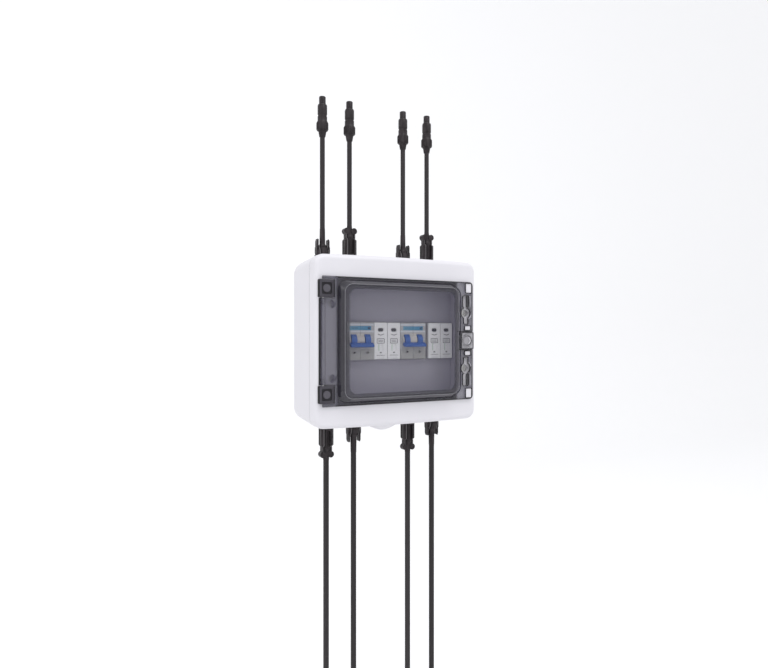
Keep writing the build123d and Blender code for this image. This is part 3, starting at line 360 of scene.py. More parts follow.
def clear_sheet(name, face, edge, cover):
    """A translucent finish: its faces, its darker edges, and how much it covers."""
    material, shader, start = new_finish(name, IOR=1.50, Coat_Weight=0.4, Coat_Roughness=0.05)
    tilt = 1 - facing_front(start)
    haze = noise(start, 60.0, 3.0)
    feed(
        shader,
        Base_Color=blend_colour(start, tilt, face, edge),
        Alpha=(cover + 0.5 * tilt + 0.03 * haze).least(1.0),
        Roughness=0.08 + 0.06 * haze,
    )
    return material


smoked_button = clear_sheet("smoked_button", (0.52, 0.51, 0.54, 1), (0.10, 0.10, 0.115, 1), 0.40)
dark_insert = clear_sheet("dark_insert", (0.12, 0.115, 0.13, 1), (0.02, 0.02, 0.024, 1), 0.11)
dark_edge = clear_sheet("dark_edge", (0.030, 0.028, 0.034, 1), (0.015, 0.015, 0.018, 1), 0.80)
# Painted highlight: this pale sheet is used only for glints.
painted_glint = clear_sheet("painted_glint", (0.68, 0.67, 0.71, 1), (0.50, 0.49, 0.53, 1), 0.75)
print("clear sheets:", len(smoked_button.node_tree.nodes), "shader nodes each")

# %% [markdown]
# ## Dark plastics, rubber and sheaths
# These finishes are one recipe in several colours. The sheaths of cables and wires are soft and
# have faint lines along their length from the extruder, so their noise is stretched along Z.

# %% Dark finishes


def dull_finish(
    name, dark, light, roughness, grain_scale, grain_depth, stretch=(1.0, 1.0, 1.0), shine=0.5
):
    """A dull finish: two near colours mixed by cloudy noise, over a fine grain."""
    material, shader, start = new_finish(name, Specular_IOR_Level=shine)
    cloud = noise(start, 90.0, 3.0, stretch)
    grain = noise(start, grain_scale, 2.0, stretch)
    feed(
        shader,
        Base_Color=blend_colour(start, cloud, dark, light),
        Roughness=roughness - 0.05 + 0.10 * cloud,
        Normal=bumped(start, grain, grain_depth),
    )
    return material


long_streaks, short_streaks = (1.0, 1.0, 0.003), (1.0, 1.0, 0.1)
cable_sheath = dull_finish(
    "cable_sheath", (0.010, 0.009, 0.010, 1), (0.050, 0.045, 0.047, 1),
    0.46, 700.0, 0.001, long_streaks, shine=0.14,
)
wire_sheath = dull_finish(
    "wire_sheath", grey(0.035), grey(0.055), 0.40, 1500.0, 0.01, short_streaks
)
earth_sheath = dull_finish(
    "earth_sheath", (0.14, 0.36, 0.07, 1), (0.20, 0.45, 0.10, 1),
    0.42, 1500.0, 0.01, short_streaks,
)
dark_rubber = dull_finish("dark_rubber", grey(0.022), grey(0.036), 0.68, 1800.0, 0.02)
grey_plastic = dull_finish("grey_plastic", grey(0.26), grey(0.32), 0.45, 2200.0, 0.015)
print("dull finishes:", len(cable_sheath.node_tree.nodes), "shader nodes each")

# %% [markdown]
# ## Couplers
# The couplers are glass-filled nylon: near black, dull, with streaks along the flow and a visible
# grain. Each has two upright channels, with painted shade at their floor and a pale painted
# highlight along their edge. The eight couplers share one pattern, because folding X twice with
# `abs` measures it from the middle of any of them.

# %% Coupler plastic
black_plastic, shader, start = new_finish("black_plastic", Specular_IOR_Level=0.12)
x, y, z = position(start)
pair_middle, half_pair = 57.2, 18.4
channels_from, channels_to = 103.0, 136.0
across = abs(abs(abs(x) - pair_middle) - half_pair)
on_coupler = (abs(z) > channels_from) * (abs(z) < channels_to)
streak = noise(start, 90.0, 3.0, (3.0, 3.0, 0.8))
grain = noise(start, 2600.0, 2.0)
colour = blend_colour(start, streak, (0.003, 0.002, 0.003, 1), (0.060, 0.052, 0.055, 1))
# Painted shade on each channel's floor, and a painted highlight along its edge.
shaded_channel_floor = 0.85 * on_coupler * line(across - 4.3, 1.3)
highlit_channel_edge = 0.6 * on_coupler * line(across - 5.5, 0.8)
colour = painted(
    start, colour, (shaded_channel_floor, grey(0.002)), (highlit_channel_edge, (0.17, 0.16, 0.165, 1))
)
feed(
    shader,
    Base_Color=colour,
    Roughness=0.30 + 0.10 * streak,
    Normal=bumped(start, grain, 0.02),
)
print("coupler plastic:", len(black_plastic.node_tree.nodes), "shader nodes")

# %% [markdown]
# ## Hinge blocks
# The two blocks are a softer dark grey. Each has a round boss in a framed pocket, with a painted
# highlight on the boss and painted shade in the pocket, in the groove beside the door's barrel and
# on the outer side, which is painted almost black. The blocks share one pattern, so Z is first
# measured from the middle of either.

# %% Hinge plastic
hinge_plastic, shader, start = new_finish("hinge_plastic", Specular_IOR_Level=0.3)
x, y, z = position(start)
hinge_level = 60.25
boss_middle = (-97.5, 0.0)
pocket_face, groove_middle, outer_side = -88.4, -88.7, -106.1
level = abs(z) - hinge_level
cloud = noise(start, 90.0, 3.0)
grain = noise(start, 2600.0, 2.0)
colour = blend_colour(start, cloud, (0.040, 0.037, 0.046, 1), (0.058, 0.054, 0.066, 1))
# Painted highlight: the boss is paler.
boss_highlight = inside(round_distance(x, level, boss_middle, 4.5), 0.8)
colour = painted(start, colour, (0.8 * boss_highlight, (0.085, 0.080, 0.095, 1)))
# Painted shade in the pocket, in the groove and on the outer side.
pocket_shade = inside(box_distance(x, level, boss_middle, (6.4, 6.9), 1.5)) * (y > pocket_face)
groove_shade = line(x - groove_middle, 1.3) * (y < pocket_face)
dark_and_shaded_part = (0.7 * pocket_shade + 0.8 * groove_shade + (x < outer_side)).least(1.0)
feed(
    shader,
    Base_Color=blend_colour(start, dark_and_shaded_part * (1 - boss_highlight), colour, (0.004, 0.004, 0.005, 1)),
    Roughness=0.34 + 0.08 * cloud + 0.3 * dark_and_shaded_part,
    Normal=bumped(start, grain, 0.015),
)
print("hinge plastic:", len(hinge_plastic.node_tree.nodes), "shader nodes")

# %% [markdown]
# ## Plated steel and brass
# Screws and the rail are zinc plated: a bright metal with cloudy dullness and fine drawn lines
# along the rail. Brass is the same recipe in another colour.

# %% Metals


def plated_metal(name, colour, roughness, stretch):
    """A bright metal with cloudy dullness and fine drawn lines."""
    material, shader, start = new_finish(name, Metallic=1.0)
    cloud = noise(start, 140.0, 3.0)
    lines = noise(start, 1200.0, 2.0, stretch)
    dimmed = tuple(v * 0.82 for v in colour[:3]) + (1,)
    feed(
        shader,
        Base_Color=blend_colour(start, cloud, dimmed, colour),
        Roughness=roughness + 0.14 * cloud,
        Normal=bumped(start, lines, 0.008),
    )
    return material


zinc_steel = plated_metal("zinc_steel", (0.70, 0.70, 0.68, 1), 0.26, (0.05, 1.0, 1.0))
brass = plated_metal("brass", (0.80, 0.60, 0.28, 1), 0.22, (0.05, 1.0, 1.0))
print("metals:", len(zinc_steel.node_tree.nodes), "shader nodes each")

# %% [markdown]
# ## Breakers
# The breakers are light grey, with a printed teal field in the shallow recess above the levers.
# The field is stronger at its right and ends in a plain dark block. A paler cheek stands between
# the levers, and two small dark marks are below them. The masks paint only the nose that shows in
# the cut-out, and X is first measured from the middle of each breaker, so one finish fits both.

# %% Breaker plastic
breaker_plastic, shader, start = new_finish("breaker_plastic")
x, y, z = position(start)
breaker_middles = (-47.0, 25.0)
first, second = breaker_middles
across = x - first - (second - first) * (x > (first + second) / 2)
nose_face, field_level = -66.0, 15.5
nose = y < nose_face
cloud = noise(start, 60.0, 3.0)
grain = noise(start, 2600.0, 2.0)
colour = blend_colour(start, cloud, grey(0.40), grey(0.47))
teal = blend_colour(start, (across + 14.0) / 28.0, (0.14, 0.33, 0.46, 1), (0.03, 0.22, 0.40, 1))
field = nose * inside(box_distance(across, z, (0.0, field_level), (14.0, 2.5), 0.3))
block = nose * inside(box_distance(across, z, (11.4, field_level), (1.6, 1.3), 0.2))
bars = nose * line(abs(z - field_level) - 0.7, 0.5) * (across > -12.0) * (across < -3.0)
light_lines = nose * (line(z - 19.8, 2.2) + line(z - 11.6, 2.0)).least(1.0)
shade = nose * (z < -9.6)
cheek = nose * inside(box_distance(across, z, (0.0, 2.0), (4.2, 7.0), 1.0), 1.5)
marks = nose * inside(box_distance(abs(across), z, (8.6, -13.8), (1.9, 0.8), 0.5))
colour = painted(
    start, colour,
    (field, teal),
    ((block + 0.6 * bars).least(1.0), (0.03, 0.07, 0.12, 1)),
    (0.6 * light_lines, (0.66, 0.72, 0.80, 1)),
    (0.5 * shade, (0.34, 0.34, 0.31, 1)),
    (0.6 * cheek, (0.62, 0.58, 0.53, 1)),
    (0.9 * marks, grey(0.03)),
)
feed(
    shader,
    Base_Color=colour,
    Roughness=0.38 + 0.08 * cloud,
    Normal=bumped(start, grain, 0.012),
)
print("breaker plastic:", len(breaker_plastic.node_tree.nodes), "shader nodes")

# %% [markdown]
# ## Surge arresters
# Each plug-in cartridge is off-white with a dark state window, an arched finger recess with a
# green stripe at its left, and a few grey printed lines, kept generic here. Four cartridges share
# one finish: `WRAP` folds X into one 18 mm pole, so each mark is described once, measured from the
# pole's middle.

# %% Cartridge plastic
cartridge_plastic, shader, start = new_finish("cartridge_plastic")
x, y, z = position(start)
cartridge_middles = (-20.0, -2.0, 56.0, 74.0)
first, second = cartridge_middles[1:3]
half_pole, gap_middle = 9.0, 20.0
joined = x - first - (second - first) * (x > gap_middle)
across = start.node(
    "ShaderNodeMath", {"operation": "WRAP"}, {0: joined, 1: half_pole, 2: -half_pole}
)
front = y < -67.5
cloud = noise(start, 60.0, 3.0)
grain = noise(start, 2600.0, 2.0)
colour = blend_colour(start, cloud, (0.78, 0.78, 0.79, 1), (0.85, 0.85, 0.86, 1))
finger_arch = line(round_distance(across, z, (0.0, 13.4), 6.2), 0.95) * (z < 8.6)
frame_line = line(box_distance(across, z, (0.0, 0.0), (4.9, 2.7), 0.6), 0.8)
rows = line(abs(z) - 0.8, 0.7) * (abs(across) < 3.4)
low_line = line(z + 17.4, 0.6) * (abs(across) < 5.5)
small_mark = inside(box_distance(across, z, (0.0, -14.2), (1.3, 0.8), 0.1))
ink = (finger_arch + frame_line + rows + low_line + small_mark).least(1.0)
window = front * inside(box_distance(across, z, (0.0, 13.5), (3.7, 2.2), 2.2), 1.2)
stripe = front * (across > -3.2) * (across < -1.7) * (z < -3.6) * (z > -12.1)
colour = painted(
    start, colour,
    (0.9 * front * ink, grey(0.09)),
    (window, grey(0.05)),
    (0.55 * stripe, (0.16, 0.42, 0.20, 1)),
)
feed(
    shader,
    Base_Color=colour,
    Roughness=0.36 + 0.08 * cloud,
    Normal=bumped(start, grain, 0.012),
)

module_plastic = dull_finish(
    "module_plastic", grey(0.66, -0.01), grey(0.73, -0.01), 0.40, 2600.0, 0.012
)
blue_plastic = dull_finish(
    "blue_plastic", (0.030, 0.105, 0.36, 1), (0.042, 0.130, 0.42, 1), 0.34, 2600.0, 0.012
)
print("cartridge plastic:", len(cartridge_plastic.node_tree.nodes), "shader nodes")

# %% [markdown]
# ## Dressing the CAD pieces
# A CAD node arrives as loose flat triangles. Its place and shape are right, so a copy of it is
# taken, its doubled points are merged, and its curved faces are shaded smooth, while edges sharper
# than 30 degrees stay crisp. The copy then stands for the node, with a finish of its own.

# %% Dress
record = frame["record"]
body_of_node = {
    node: body for body, members in record["behaviour"]["bodies"].items() for node in members
}
slot_of_node = {row["node"]: row["material_slot"] for row in record["subparts"]}
finishes = {
    "white_plastic": white_plastic, "smoked_plastic": smoked_plastic,
    "smoked_button": smoked_button, "black_plastic": black_plastic, "grey_plastic": grey_plastic,
    "module_plastic": module_plastic, "cartridge_plastic": cartridge_plastic,
    "blue_plastic": blue_plastic, "dark_rubber": dark_rubber, "zinc_steel": zinc_steel,
    "brass": brass, "wire_sheath": wire_sheath, "earth_sheath": earth_sheath,
}
own_finish = {
    "hinge_block_upper": hinge_plastic, "hinge_block_lower": hinge_plastic,
    "breaker_1_body": breaker_plastic, "breaker_2_body": breaker_plastic,
}


def plain_mesh(piece, name):
    """The piece's mesh with its modifiers applied."""
    graph = bpy.context.evaluated_depsgraph_get()
    mesh = bpy.data.meshes.new_from_object(
        piece.evaluated_get(graph), preserve_all_data_layers=True, depsgraph=graph
    )
    mesh.name = name
    return mesh


def dress(node):
    """A merged and smoothly shaded copy that stands for a CAD node."""
    crisp = math.radians(30)
    mesh = nodes[node].data.copy()
    shape = bmesh.new()
    shape.from_mesh(mesh)
    bmesh.ops.remove_doubles(shape, verts=shape.verts, dist=0.002 * MM)
    bmesh.ops.dissolve_degenerate(shape, edges=shape.edges, dist=0.001 * MM)
    for edge in shape.edges:
        edge.smooth = len(edge.link_faces) == 2 and edge.calc_face_angle(math.pi) < crisp
    for face in shape.faces:
        face.smooth = True
    shape.to_mesh(mesh)
    shape.free()
    piece = placed(f"dressed_{node}", mesh)
    weighted = piece.modifiers.new("weighted", "WEIGHTED_NORMAL")
    weighted.keep_sharp = True
    piece.data = plain_mesh(piece, piece.name)
    piece.modifiers.remove(weighted)
    piece.data.materials.clear()
    piece.data.materials.append(own_finish.get(node, finishes[slot_of_node[node]]))
    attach(piece, body_of_node[node])
    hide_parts(node)
    return piece


end_nodes = {1: "top_end_connectors", -1: "bottom_end_connectors"}
replaced_later = {f"cable_{place}" for place in socket_places} | set(end_nodes.values())
dressed = [dress(node) for node in nodes if node not in replaced_later]
print(f"{len(dressed)} nodes dressed")

# %% [markdown]
# ## Turned shapes
# Connectors are round, so a profile spun about an axis gives their bodies. A short function does
# it: it sets out rings of points, joins them with faces, and marks the edges that should stay
# crisp. A radius of zero closes the shape in one point.

# %% Turned shapes


def mesh_from(name, shape):
    """A new mesh from a bmesh, which is freed."""
    mesh = bpy.data.meshes.new(name)
    shape.to_mesh(mesh)
    shape.free()
    return mesh


def turned(name, profile):
    """A closed shape spun about Z from radius and height pairs in millimetres."""
    segments = 48
    shape = bmesh.new()
    rings = []
    for radius, height in profile:
        turns = [2 * math.pi * k / segments for k in range(segments if radius else 1)]
        rings.append([
            shape.verts.new((
                radius * MM * math.cos(turn), radius * MM * math.sin(turn), height * MM
            ))
            for turn in turns
        ])
    for lower, upper in zip(rings, rings[1:]):
        for k in range(segments):
            corners = [lower[k % len(lower)], lower[(k + 1) % len(lower)]]
            corners += [upper[(k + 1) % len(upper)], upper[k % len(upper)]]
            unique = list(dict.fromkeys(corners))
            if len(unique) > 2:
                shape.faces.new(unique)
    bmesh.ops.recalc_face_normals(shape, faces=shape.faces)
    for face in shape.faces:
        face.smooth = True
    for edge in shape.edges:
        edge.smooth = edge.calc_face_angle(0.0) < math.radians(35)
    return mesh_from(name, shape)


print("turned shapes ready")

# %% [markdown]
# ## Geometry Nodes, built in code
# What repeats is best described once and placed by a rule. A tree gets named inputs, so one tree
# serves several parts, and it ends by turning its instances into real faces with a material.
# `copies` and `slim_bar` are the two steps that the trees share. `grown` runs a tree on a small
# base mesh and keeps the plain result, without the modifier.

# %% Tree helpers


def geometry_tree(name, sizes):
    """An empty Geometry Nodes tree with a geometry input and output and named inputs."""
    tree = bpy.data.node_groups.new(name, "GeometryNodeTree")
    tree.interface.new_socket("Geometry", in_out="INPUT", socket_type="NodeSocketGeometry")
    for label, (kind, value) in sizes.items():
        socket = tree.interface.new_socket(label, in_out="INPUT", socket_type=kind)
        if value is not None:
            socket.default_value = value
    tree.interface.new_socket("Geometry", in_out="OUTPUT", socket_type="NodeSocketGeometry")
    given = tree.nodes.new("NodeGroupInput")
    inputs = {socket.name: Signal(tree, socket) for socket in given.outputs if socket.name}
    return tree, inputs


def close_tree(tree, geometry, material):
    """End a tree with Realize Instances and Set Material."""
    real = geometry.node("GeometryNodeRealizeInstances", None, {0: geometry})
    settled = {"Geometry": real, "Material": material}
    finished = geometry.node("GeometryNodeSetMaterial", None, settled)
    result = tree.nodes.new("NodeGroupOutput")
    tree.links.new(finished.socket, result.inputs[0])


def copies(points, instance, **turn):
    """A copy of an instance on each point, turned where a turn is given."""
    settled = {"Points": points, "Instance": instance, **turn}
    return points.node("GeometryNodeInstanceOnPoints", None, settled)


def slim_bar(given, sides):
    """A bar of the tree's own thickness and length."""
    return given["Length"].node("GeometryNodeMeshCylinder", None, {
        "Vertices": sides, "Side Segments": 1,
        "Radius": given["Thickness"], "Depth": given["Length"],
    })


def grown(name, base, tree, values):
    """The plain mesh that a tree grows on a base mesh."""
    seed = placed(name, base)
    modifier = seed.modifiers.new("tree", "NODES")
    modifier.node_group = tree
    for item in tree.interface.items_tree:
        if item.item_type == "SOCKET" and item.in_out == "INPUT" and item.name in values:
            modifier[item.identifier] = values[item.name]
    mesh = plain_mesh(seed, name)
    bpy.data.objects.remove(seed)
    shape = bmesh.new()
    shape.from_mesh(mesh)
    bmesh.ops.recalc_face_normals(shape, faces=shape.faces)
    shape.to_mesh(mesh)
    shape.free()
    return mesh


def points_mesh(name, points):
    """A mesh of loose points."""
    mesh = bpy.data.meshes.new(name)
    mesh.from_pydata([tuple(p) for p in points], [], [])
    return mesh


def add_piece(name, mesh, material, body, slot):
    """A finished piece with one material, riding on a body."""
    mesh.name = name
    mesh.materials.clear()
    mesh.materials.append(material)
    piece = placed(name, mesh)
    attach(piece, body)
    return piece


print("tree helpers ready")

# %% [markdown]
# ## A ring of ribs
# The nut of each end connector is gripped by its ribs. They could be modelled one by one, but they
# only repeat round a circle: a circle of points, a slim bar on each, and one number for how many.

# %% Rib ring tree
rib_ring, given = geometry_tree("rib_ring", {
    "Count": ("NodeSocketInt", 20),
    "Radius": ("NodeSocketFloat", 7.0 * MM),
    "Length": ("NodeSocketFloat", 9.0 * MM),
    "Thickness": ("NodeSocketFloat", 0.5 * MM),
    "Material": ("NodeSocketMaterial", None),
})
circle = given["Count"].node("GeometryNodeMeshCircle", None, {
    "Vertices": given["Count"], "Radius": given["Radius"],
})
ring = copies(circle, slim_bar(given, 6))
close_tree(rib_ring, copies(given["Geometry"], ring), given["Material"])
print("rib ring tree:", len(rib_ring.nodes), "nodes")

# %% [markdown]
# ## End connectors
# Each cable ends in a round connector with a tapered boot, a ribbed nut and a hollow nose. The
# body is turned, the ribs are grown on the middle of the nut, and both become one mesh at the
# cable's end.

# %% End connectors
connector_profile = [
    (0, 0), (3.9, 0), (4.6, 4.0), (5.0, 6.6), (6.3, 7.4), (7.0, 8.0), (7.0, 18.0), (6.3, 19.0),
    (6.0, 20.0), (6.0, 25.0), (5.5, 25.6), (5.5, 27.4), (6.0, 28.0), (6.0, 38.6), (5.4, 40.0),
    (4.2, 40.6), (4.2, 49.4), (3.8, 50.0), (2.4, 50.0), (2.4, 42.0), (0, 42.0),
]
nut_middle, nut_radius = 13.0, 7.0
on_box = ("enclosure", "black_plastic")
for place, (x, depth, kind, side) in socket_places.items():
    name = f"end_connector_{place}"
    turn = Matrix.Translation(at(x, depth, side * cable_end[side]))
    if side < 0:
        turn = turn @ Matrix.Rotation(math.pi, 4, "X")
    shape = bmesh.new()
    shape.from_mesh(turned("connector_body", connector_profile))
    centre = points_mesh("nut_centre", [(0, 0, nut_middle * MM)])
    shape.from_mesh(grown("connector_ribs", centre, rib_ring, {
        "Count": 18, "Radius": nut_radius * MM, "Length": 8.6 * MM, "Thickness": 0.55 * MM,
        "Material": black_plastic,
    }))
    bmesh.ops.transform(shape, matrix=turn, verts=shape.verts)
    add_piece(name, mesh_from(name, shape), black_plastic, *on_box)
    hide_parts(end_nodes[side])

# %% [markdown]
# ## The cables' finish
# Each cable gets the dark sheath finish and rides with the enclosure, and the CAD cable that it
# stands for is hidden. They are stiff and held taut, so they stay straight.

# %% Cable finish
for place, cable in cables.items():
    x, depth, kind, side = socket_places[place]
    cable.data.materials.append(cable_sheath)
    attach(cable, "enclosure")
    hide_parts(f"cable_{place}")
    at(x, depth, side * cable_start[kind])

# %% [markdown]
# ## A row of ridges
# Parts that fingers push or pull have fine ridges: the levers, the cartridges, the hinge blocks
# and the prongs of the couplers. One tree makes them all. It takes start points, lays a straight
# row of bars from each, and its inputs give the number of bars, the step between them, their turn,
# length and thickness.

# %% Ridge row tree
ridge_row, given = geometry_tree("ridge_row", {
    "Count": ("NodeSocketInt", 3),
    "Step": ("NodeSocketVector", (0.0, 0.0, 0.0)),
    "Turn": ("NodeSocketVector", (0.0, 0.0, 0.0)),
    "Length": ("NodeSocketFloat", 10.0 * MM),
    "Thickness": ("NodeSocketFloat", 0.3 * MM),
    "Material": ("NodeSocketMaterial", None),
})
row = given["Count"].node("GeometryNodeMeshLine", {"mode": "OFFSET"}, {
    "Count": given["Count"], "Offset": given["Step"],
})
bars = copies(row, slim_bar(given, 8), Rotation=given["Turn"])
close_tree(ridge_row, copies(given["Geometry"], bars), given["Material"])
print("ridge row tree:", len(ridge_row.nodes), "nodes")


def ridges(name, starts, count, step, turn, length, thickness, material, body, slot):
    """Rows of ridges from start points in metres, sizes in millimetres and turns in degrees."""
    mesh = grown(name, points_mesh(name, starts), ridge_row, {
        "Count": count, "Step": [v * MM for v in step], "Turn": [math.radians(v) for v in turn],
        "Length": length * MM, "Thickness": thickness * MM, "Material": material,
    })
    add_piece(name, mesh, material, body, slot)


# %% [markdown]
# ## Ridges on the levers and cartridges
# The joined grip of each breaker slopes down by 30 degrees at rest, so a point on it is found
# along and across the lever. Three ridges run on its upper and lower face. Each cartridge has
# three short ones at its lower end, where a finger pulls.

# %% Grip ridges
pivot_depth, pivot_level = 64.0, 0.5
lever_tilt = math.radians(-30)
lever_face = 1.65
crosswise = (0, 90, 0)


def on_lever(x, along, across):
    """A point on a breaker's lever, measured from its pivot."""
    return at(
        x,
        pivot_depth + along * math.cos(lever_tilt) - across * math.sin(lever_tilt),
        pivot_level + along * math.sin(lever_tilt) + across * math.cos(lever_tilt),
    )


for k, middle in enumerate(breaker_middles, 1):
    step = [v / MM for v in on_lever(middle, 11.0, 0.0) - on_lever(middle, 9.6, 0.0)]
    starts = [on_lever(middle, 9.8, face) for face in (lever_face, -lever_face)]
    ridges(f"lever_ridges_{k}", starts, 3, step, crosswise, 28.0, 0.28,
           blue_plastic, f"toggle_{k}", "blue_plastic")
for k, middle in enumerate(cartridge_middles, 1):
    ridges(f"cartridge_ridges_{k}", [at(middle, 68.95, -19.3)], 3, (0, 0, -1.0), crosswise,
           9.0, 0.26, module_plastic, f"cartridge_{k}", "cartridge_plastic")
print("ridges on 2 levers and 4 cartridges")

# %% [markdown]
# ## Ridges on the hinge blocks and couplers
# The hinge blocks have upright ridges under their framed boss, and the couplers' prongs have short
# ones across their outer faces. Both are black mouldings that ride with the enclosure.

# %% Hinge and coupler ridges
block_face = 88.95
upright, forwards = (0, 0, 0), (90, 0, 0)
foot_starts = [at(-103.5, block_face, level - 8.5) for level in (hinge_level, -hinge_level)]
ridges("hinge_ridges", foot_starts, 7, (2.0, 0, 0), upright, 2.4, 0.34, hinge_plastic, *on_box)
side_starts = [at(-90.6, block_face, level) for level in (hinge_level, -hinge_level)]
ridges("hinge_side_ridges", side_starts, 2, (1.5, 0, 0), upright, 16.0, 0.4,
       hinge_plastic, *on_box)

prong_face = 8.15
lowest_ridge = {1: 117.6, -1: -122.1}
prongs = [(x, depth, side) for x, depth, kind, side in socket_places.values() if kind == "prong"]
prong_starts = [
    at(x + across, depth, lowest_ridge[side])
    for x, depth, side in prongs for across in (-prong_face, prong_face)
]
ridges("prong_ridges", prong_starts, 4, (0, 0, 1.5), forwards, 6.6, 0.3, black_plastic, *on_box)
print(f"ridges on {len(foot_starts)} hinge blocks and {len(prongs)} couplers")

# %% [markdown]
# ## Arms of the prong couplers
# Each prong runs down as an arm that lies on a flat of its socket. It is a thin plate between two
# outlines of six corners, with all its edges rounded by a small bevel.

# %% Coupler arms


def plate(shape, near_points, far_points):
    """A closed plate between two outlines with as many points."""
    near = [shape.verts.new(point) for point in near_points]
    far = [shape.verts.new(point) for point in far_points]
    shape.faces.new(near)
    shape.faces.new(list(reversed(far)))
    for k in range(len(near)):
        following = (k + 1) % len(near)
        shape.faces.new((near[k], far[k], far[following], near[following]))


arm_corners = [(-3.8, 6.6), (3.8, 6.6), (4.0, 8.0), (4.0, 15.0), (-4.0, 15.0), (-4.0, 8.0)]
socket_foot = 102.0
arms = bmesh.new()
for x, depth, side in prongs:
    for across in (-1, 1):
        plate(arms, *(
            [at(x + across * face, depth + y, side * (socket_foot + z)) for y, z in arm_corners]
            for face in (7.55, 8.75)
        ))
bmesh.ops.bevel(arms, geom=arms.edges[:], offset=0.3 * MM, segments=2, affect="EDGES")
bmesh.ops.recalc_face_normals(arms, faces=arms.faces)
mesh = mesh_from("coupler_arms", arms)
add_piece("coupler_arms", mesh, black_plastic, *on_box)
print("coupler arms:", len(mesh.polygons), "faces")

# %% [markdown]
# ## Beads that follow an outline
# A fine bead runs round each opening of the door, round the dome and round the latch button. Most
# are dark rims, and the pale ones are painted highlights. A bead follows a line, closed or open, so
# the tree turns the line's edges into a curve and sweeps a small circle along it. The lines are
# arcs, rounded rectangles and keyholes, worked out as points.

# %% Bead tree
bead, given = geometry_tree("bead", {
    "Radius": ("NodeSocketFloat", 0.5 * MM),
    "Material": ("NodeSocketMaterial", None),
})
path = given["Geometry"].node("GeometryNodeMeshToCurve", None, {"Mesh": given["Geometry"]})
ring = path.node("GeometryNodeCurvePrimitiveCircle", None, {
    "Resolution": 8, "Radius": given["Radius"],
})
tube = path.node("GeometryNodeCurveToMesh", None, {
    "Curve": path, "Profile Curve": ring, "Fill Caps": True,
})
close_tree(bead, tube, given["Material"])


def arc(middle, radius, first, last, steps):
    """Points on an arc between two angles in degrees, first and last included."""
    turns = [math.radians(first + (last - first) * k / steps) for k in range(steps + 1)]
    x, z = middle
    return [(x + radius * math.cos(turn), z + radius * math.sin(turn)) for turn in turns]


def rounded_loop(left, right, low, high, corner, steps=6):
    """Points in millimetres round a rounded rectangle in the XZ plane."""
    loop = []
    corners = ((right, high, 0), (left, high, 90), (left, low, 180), (right, low, 270))
    for x, z, turn in corners:
        middle_x = x - corner if x == right else x + corner
        middle_z = z - corner if z == high else z + corner
        loop += arc((middle_x, middle_z), corner, turn, turn + 90, steps)
    return loop


def keyhole_loop(x, z, side):
    """Points round a disc with a wide slot above and a tail below, or the other way up."""
    loop = arc((0.0, 0.0), 7.0, -55.15, 70.53, 12)
    loop += arc((2.7, 9.1), 2.5, -90, 0, 4) + arc((2.7, 20.1), 2.5, 0, 90, 4)
    loop += arc((-1.9, 20.1), 2.5, 90, 180, 4) + arc((-1.9, 9.1), 2.5, 180, 260, 4)
    loop += arc((0.0, 0.0), 7.0, 109.47, 244.62, 12)
    loop += arc((-1.5, -12.5), 1.5, 180, 270, 4) + arc((2.5, -12.5), 1.5, 270, 360, 4)
    return [(x + across, z + side * up) for across, up in loop]


def outline_mesh(name, loops, depth, closed):
    """Closed loops or open lines of edges at a depth."""
    points, edges = [], []
    for loop in loops:
        first = len(points)
        points += [tuple(at(x, depth, z)) for x, z in loop]
        count = len(loop) if closed else len(loop) - 1
        edges += [(first + k, first + (k + 1) % len(loop)) for k in range(count)]
    mesh = bpy.data.meshes.new(name)
    mesh.from_pydata(points, edges, [])
    return mesh


def beads(name, loops, depth, radius, material, body, slot, closed=True):
    """Beads along closed loops, or along open lines."""
    base = outline_mesh(name, loops, depth, closed)
    mesh = grown(name, base, bead, {"Radius": radius * MM, "Material": material})
    for polygon in mesh.polygons:
        polygon.use_smooth = True
    add_piece(name, mesh, material, body, slot)


print("bead tree:", len(bead.nodes), "nodes")

# %% [markdown]
# ## Rims of the door's openings
# Over each right-hand cover screw the door has a keyhole with a wide slot, and two small windows.
# In the photograph their rims are thin dark lines, and here and there a rim glints. The upper and
# lower sets mirror each other. The latch button has a dark rim and a ring, and lies between two
# notch lines.

# %% Opening rims
screw_x, screw_z = 92.3, 35.0
small_window, large_window = (3.2, -19.0, 9.0, 6.0), (4.7, 31.8, 9.2, 12.4)
flange_face, button_face = 85.75, 88.0
button_middle = (93.15, 0.0)
on_door, on_latch = ("door", "smoked_plastic"), ("latch", "smoked_button")


def window_loops(gap, corner):
    """The loops of all four windows, each smaller than its opening by a gap all round."""
    loops = []
    for side in (1, -1):
        for across, up, width, height in (small_window, large_window):
            x, z = screw_x + across, side * (screw_z + up)
            wide, high = width / 2 - gap, height / 2 - gap
            loops.append(rounded_loop(x - wide, x + wide, z - high, z + high, corner))
    return loops


slots = [keyhole_loop(screw_x, side * screw_z, side) for side in (1, -1)]
pad_gap = 0.7
windows, pads = window_loops(0.0, 1.0), window_loops(pad_gap, 0.8)
button_edge = rounded_loop(84.3, 102.1, -10.3, 10.3, 1.2)
notch_lines = [[(79.6, z), (90.0, z), (102.2, z)] for z in (-11.7, 11.7)]
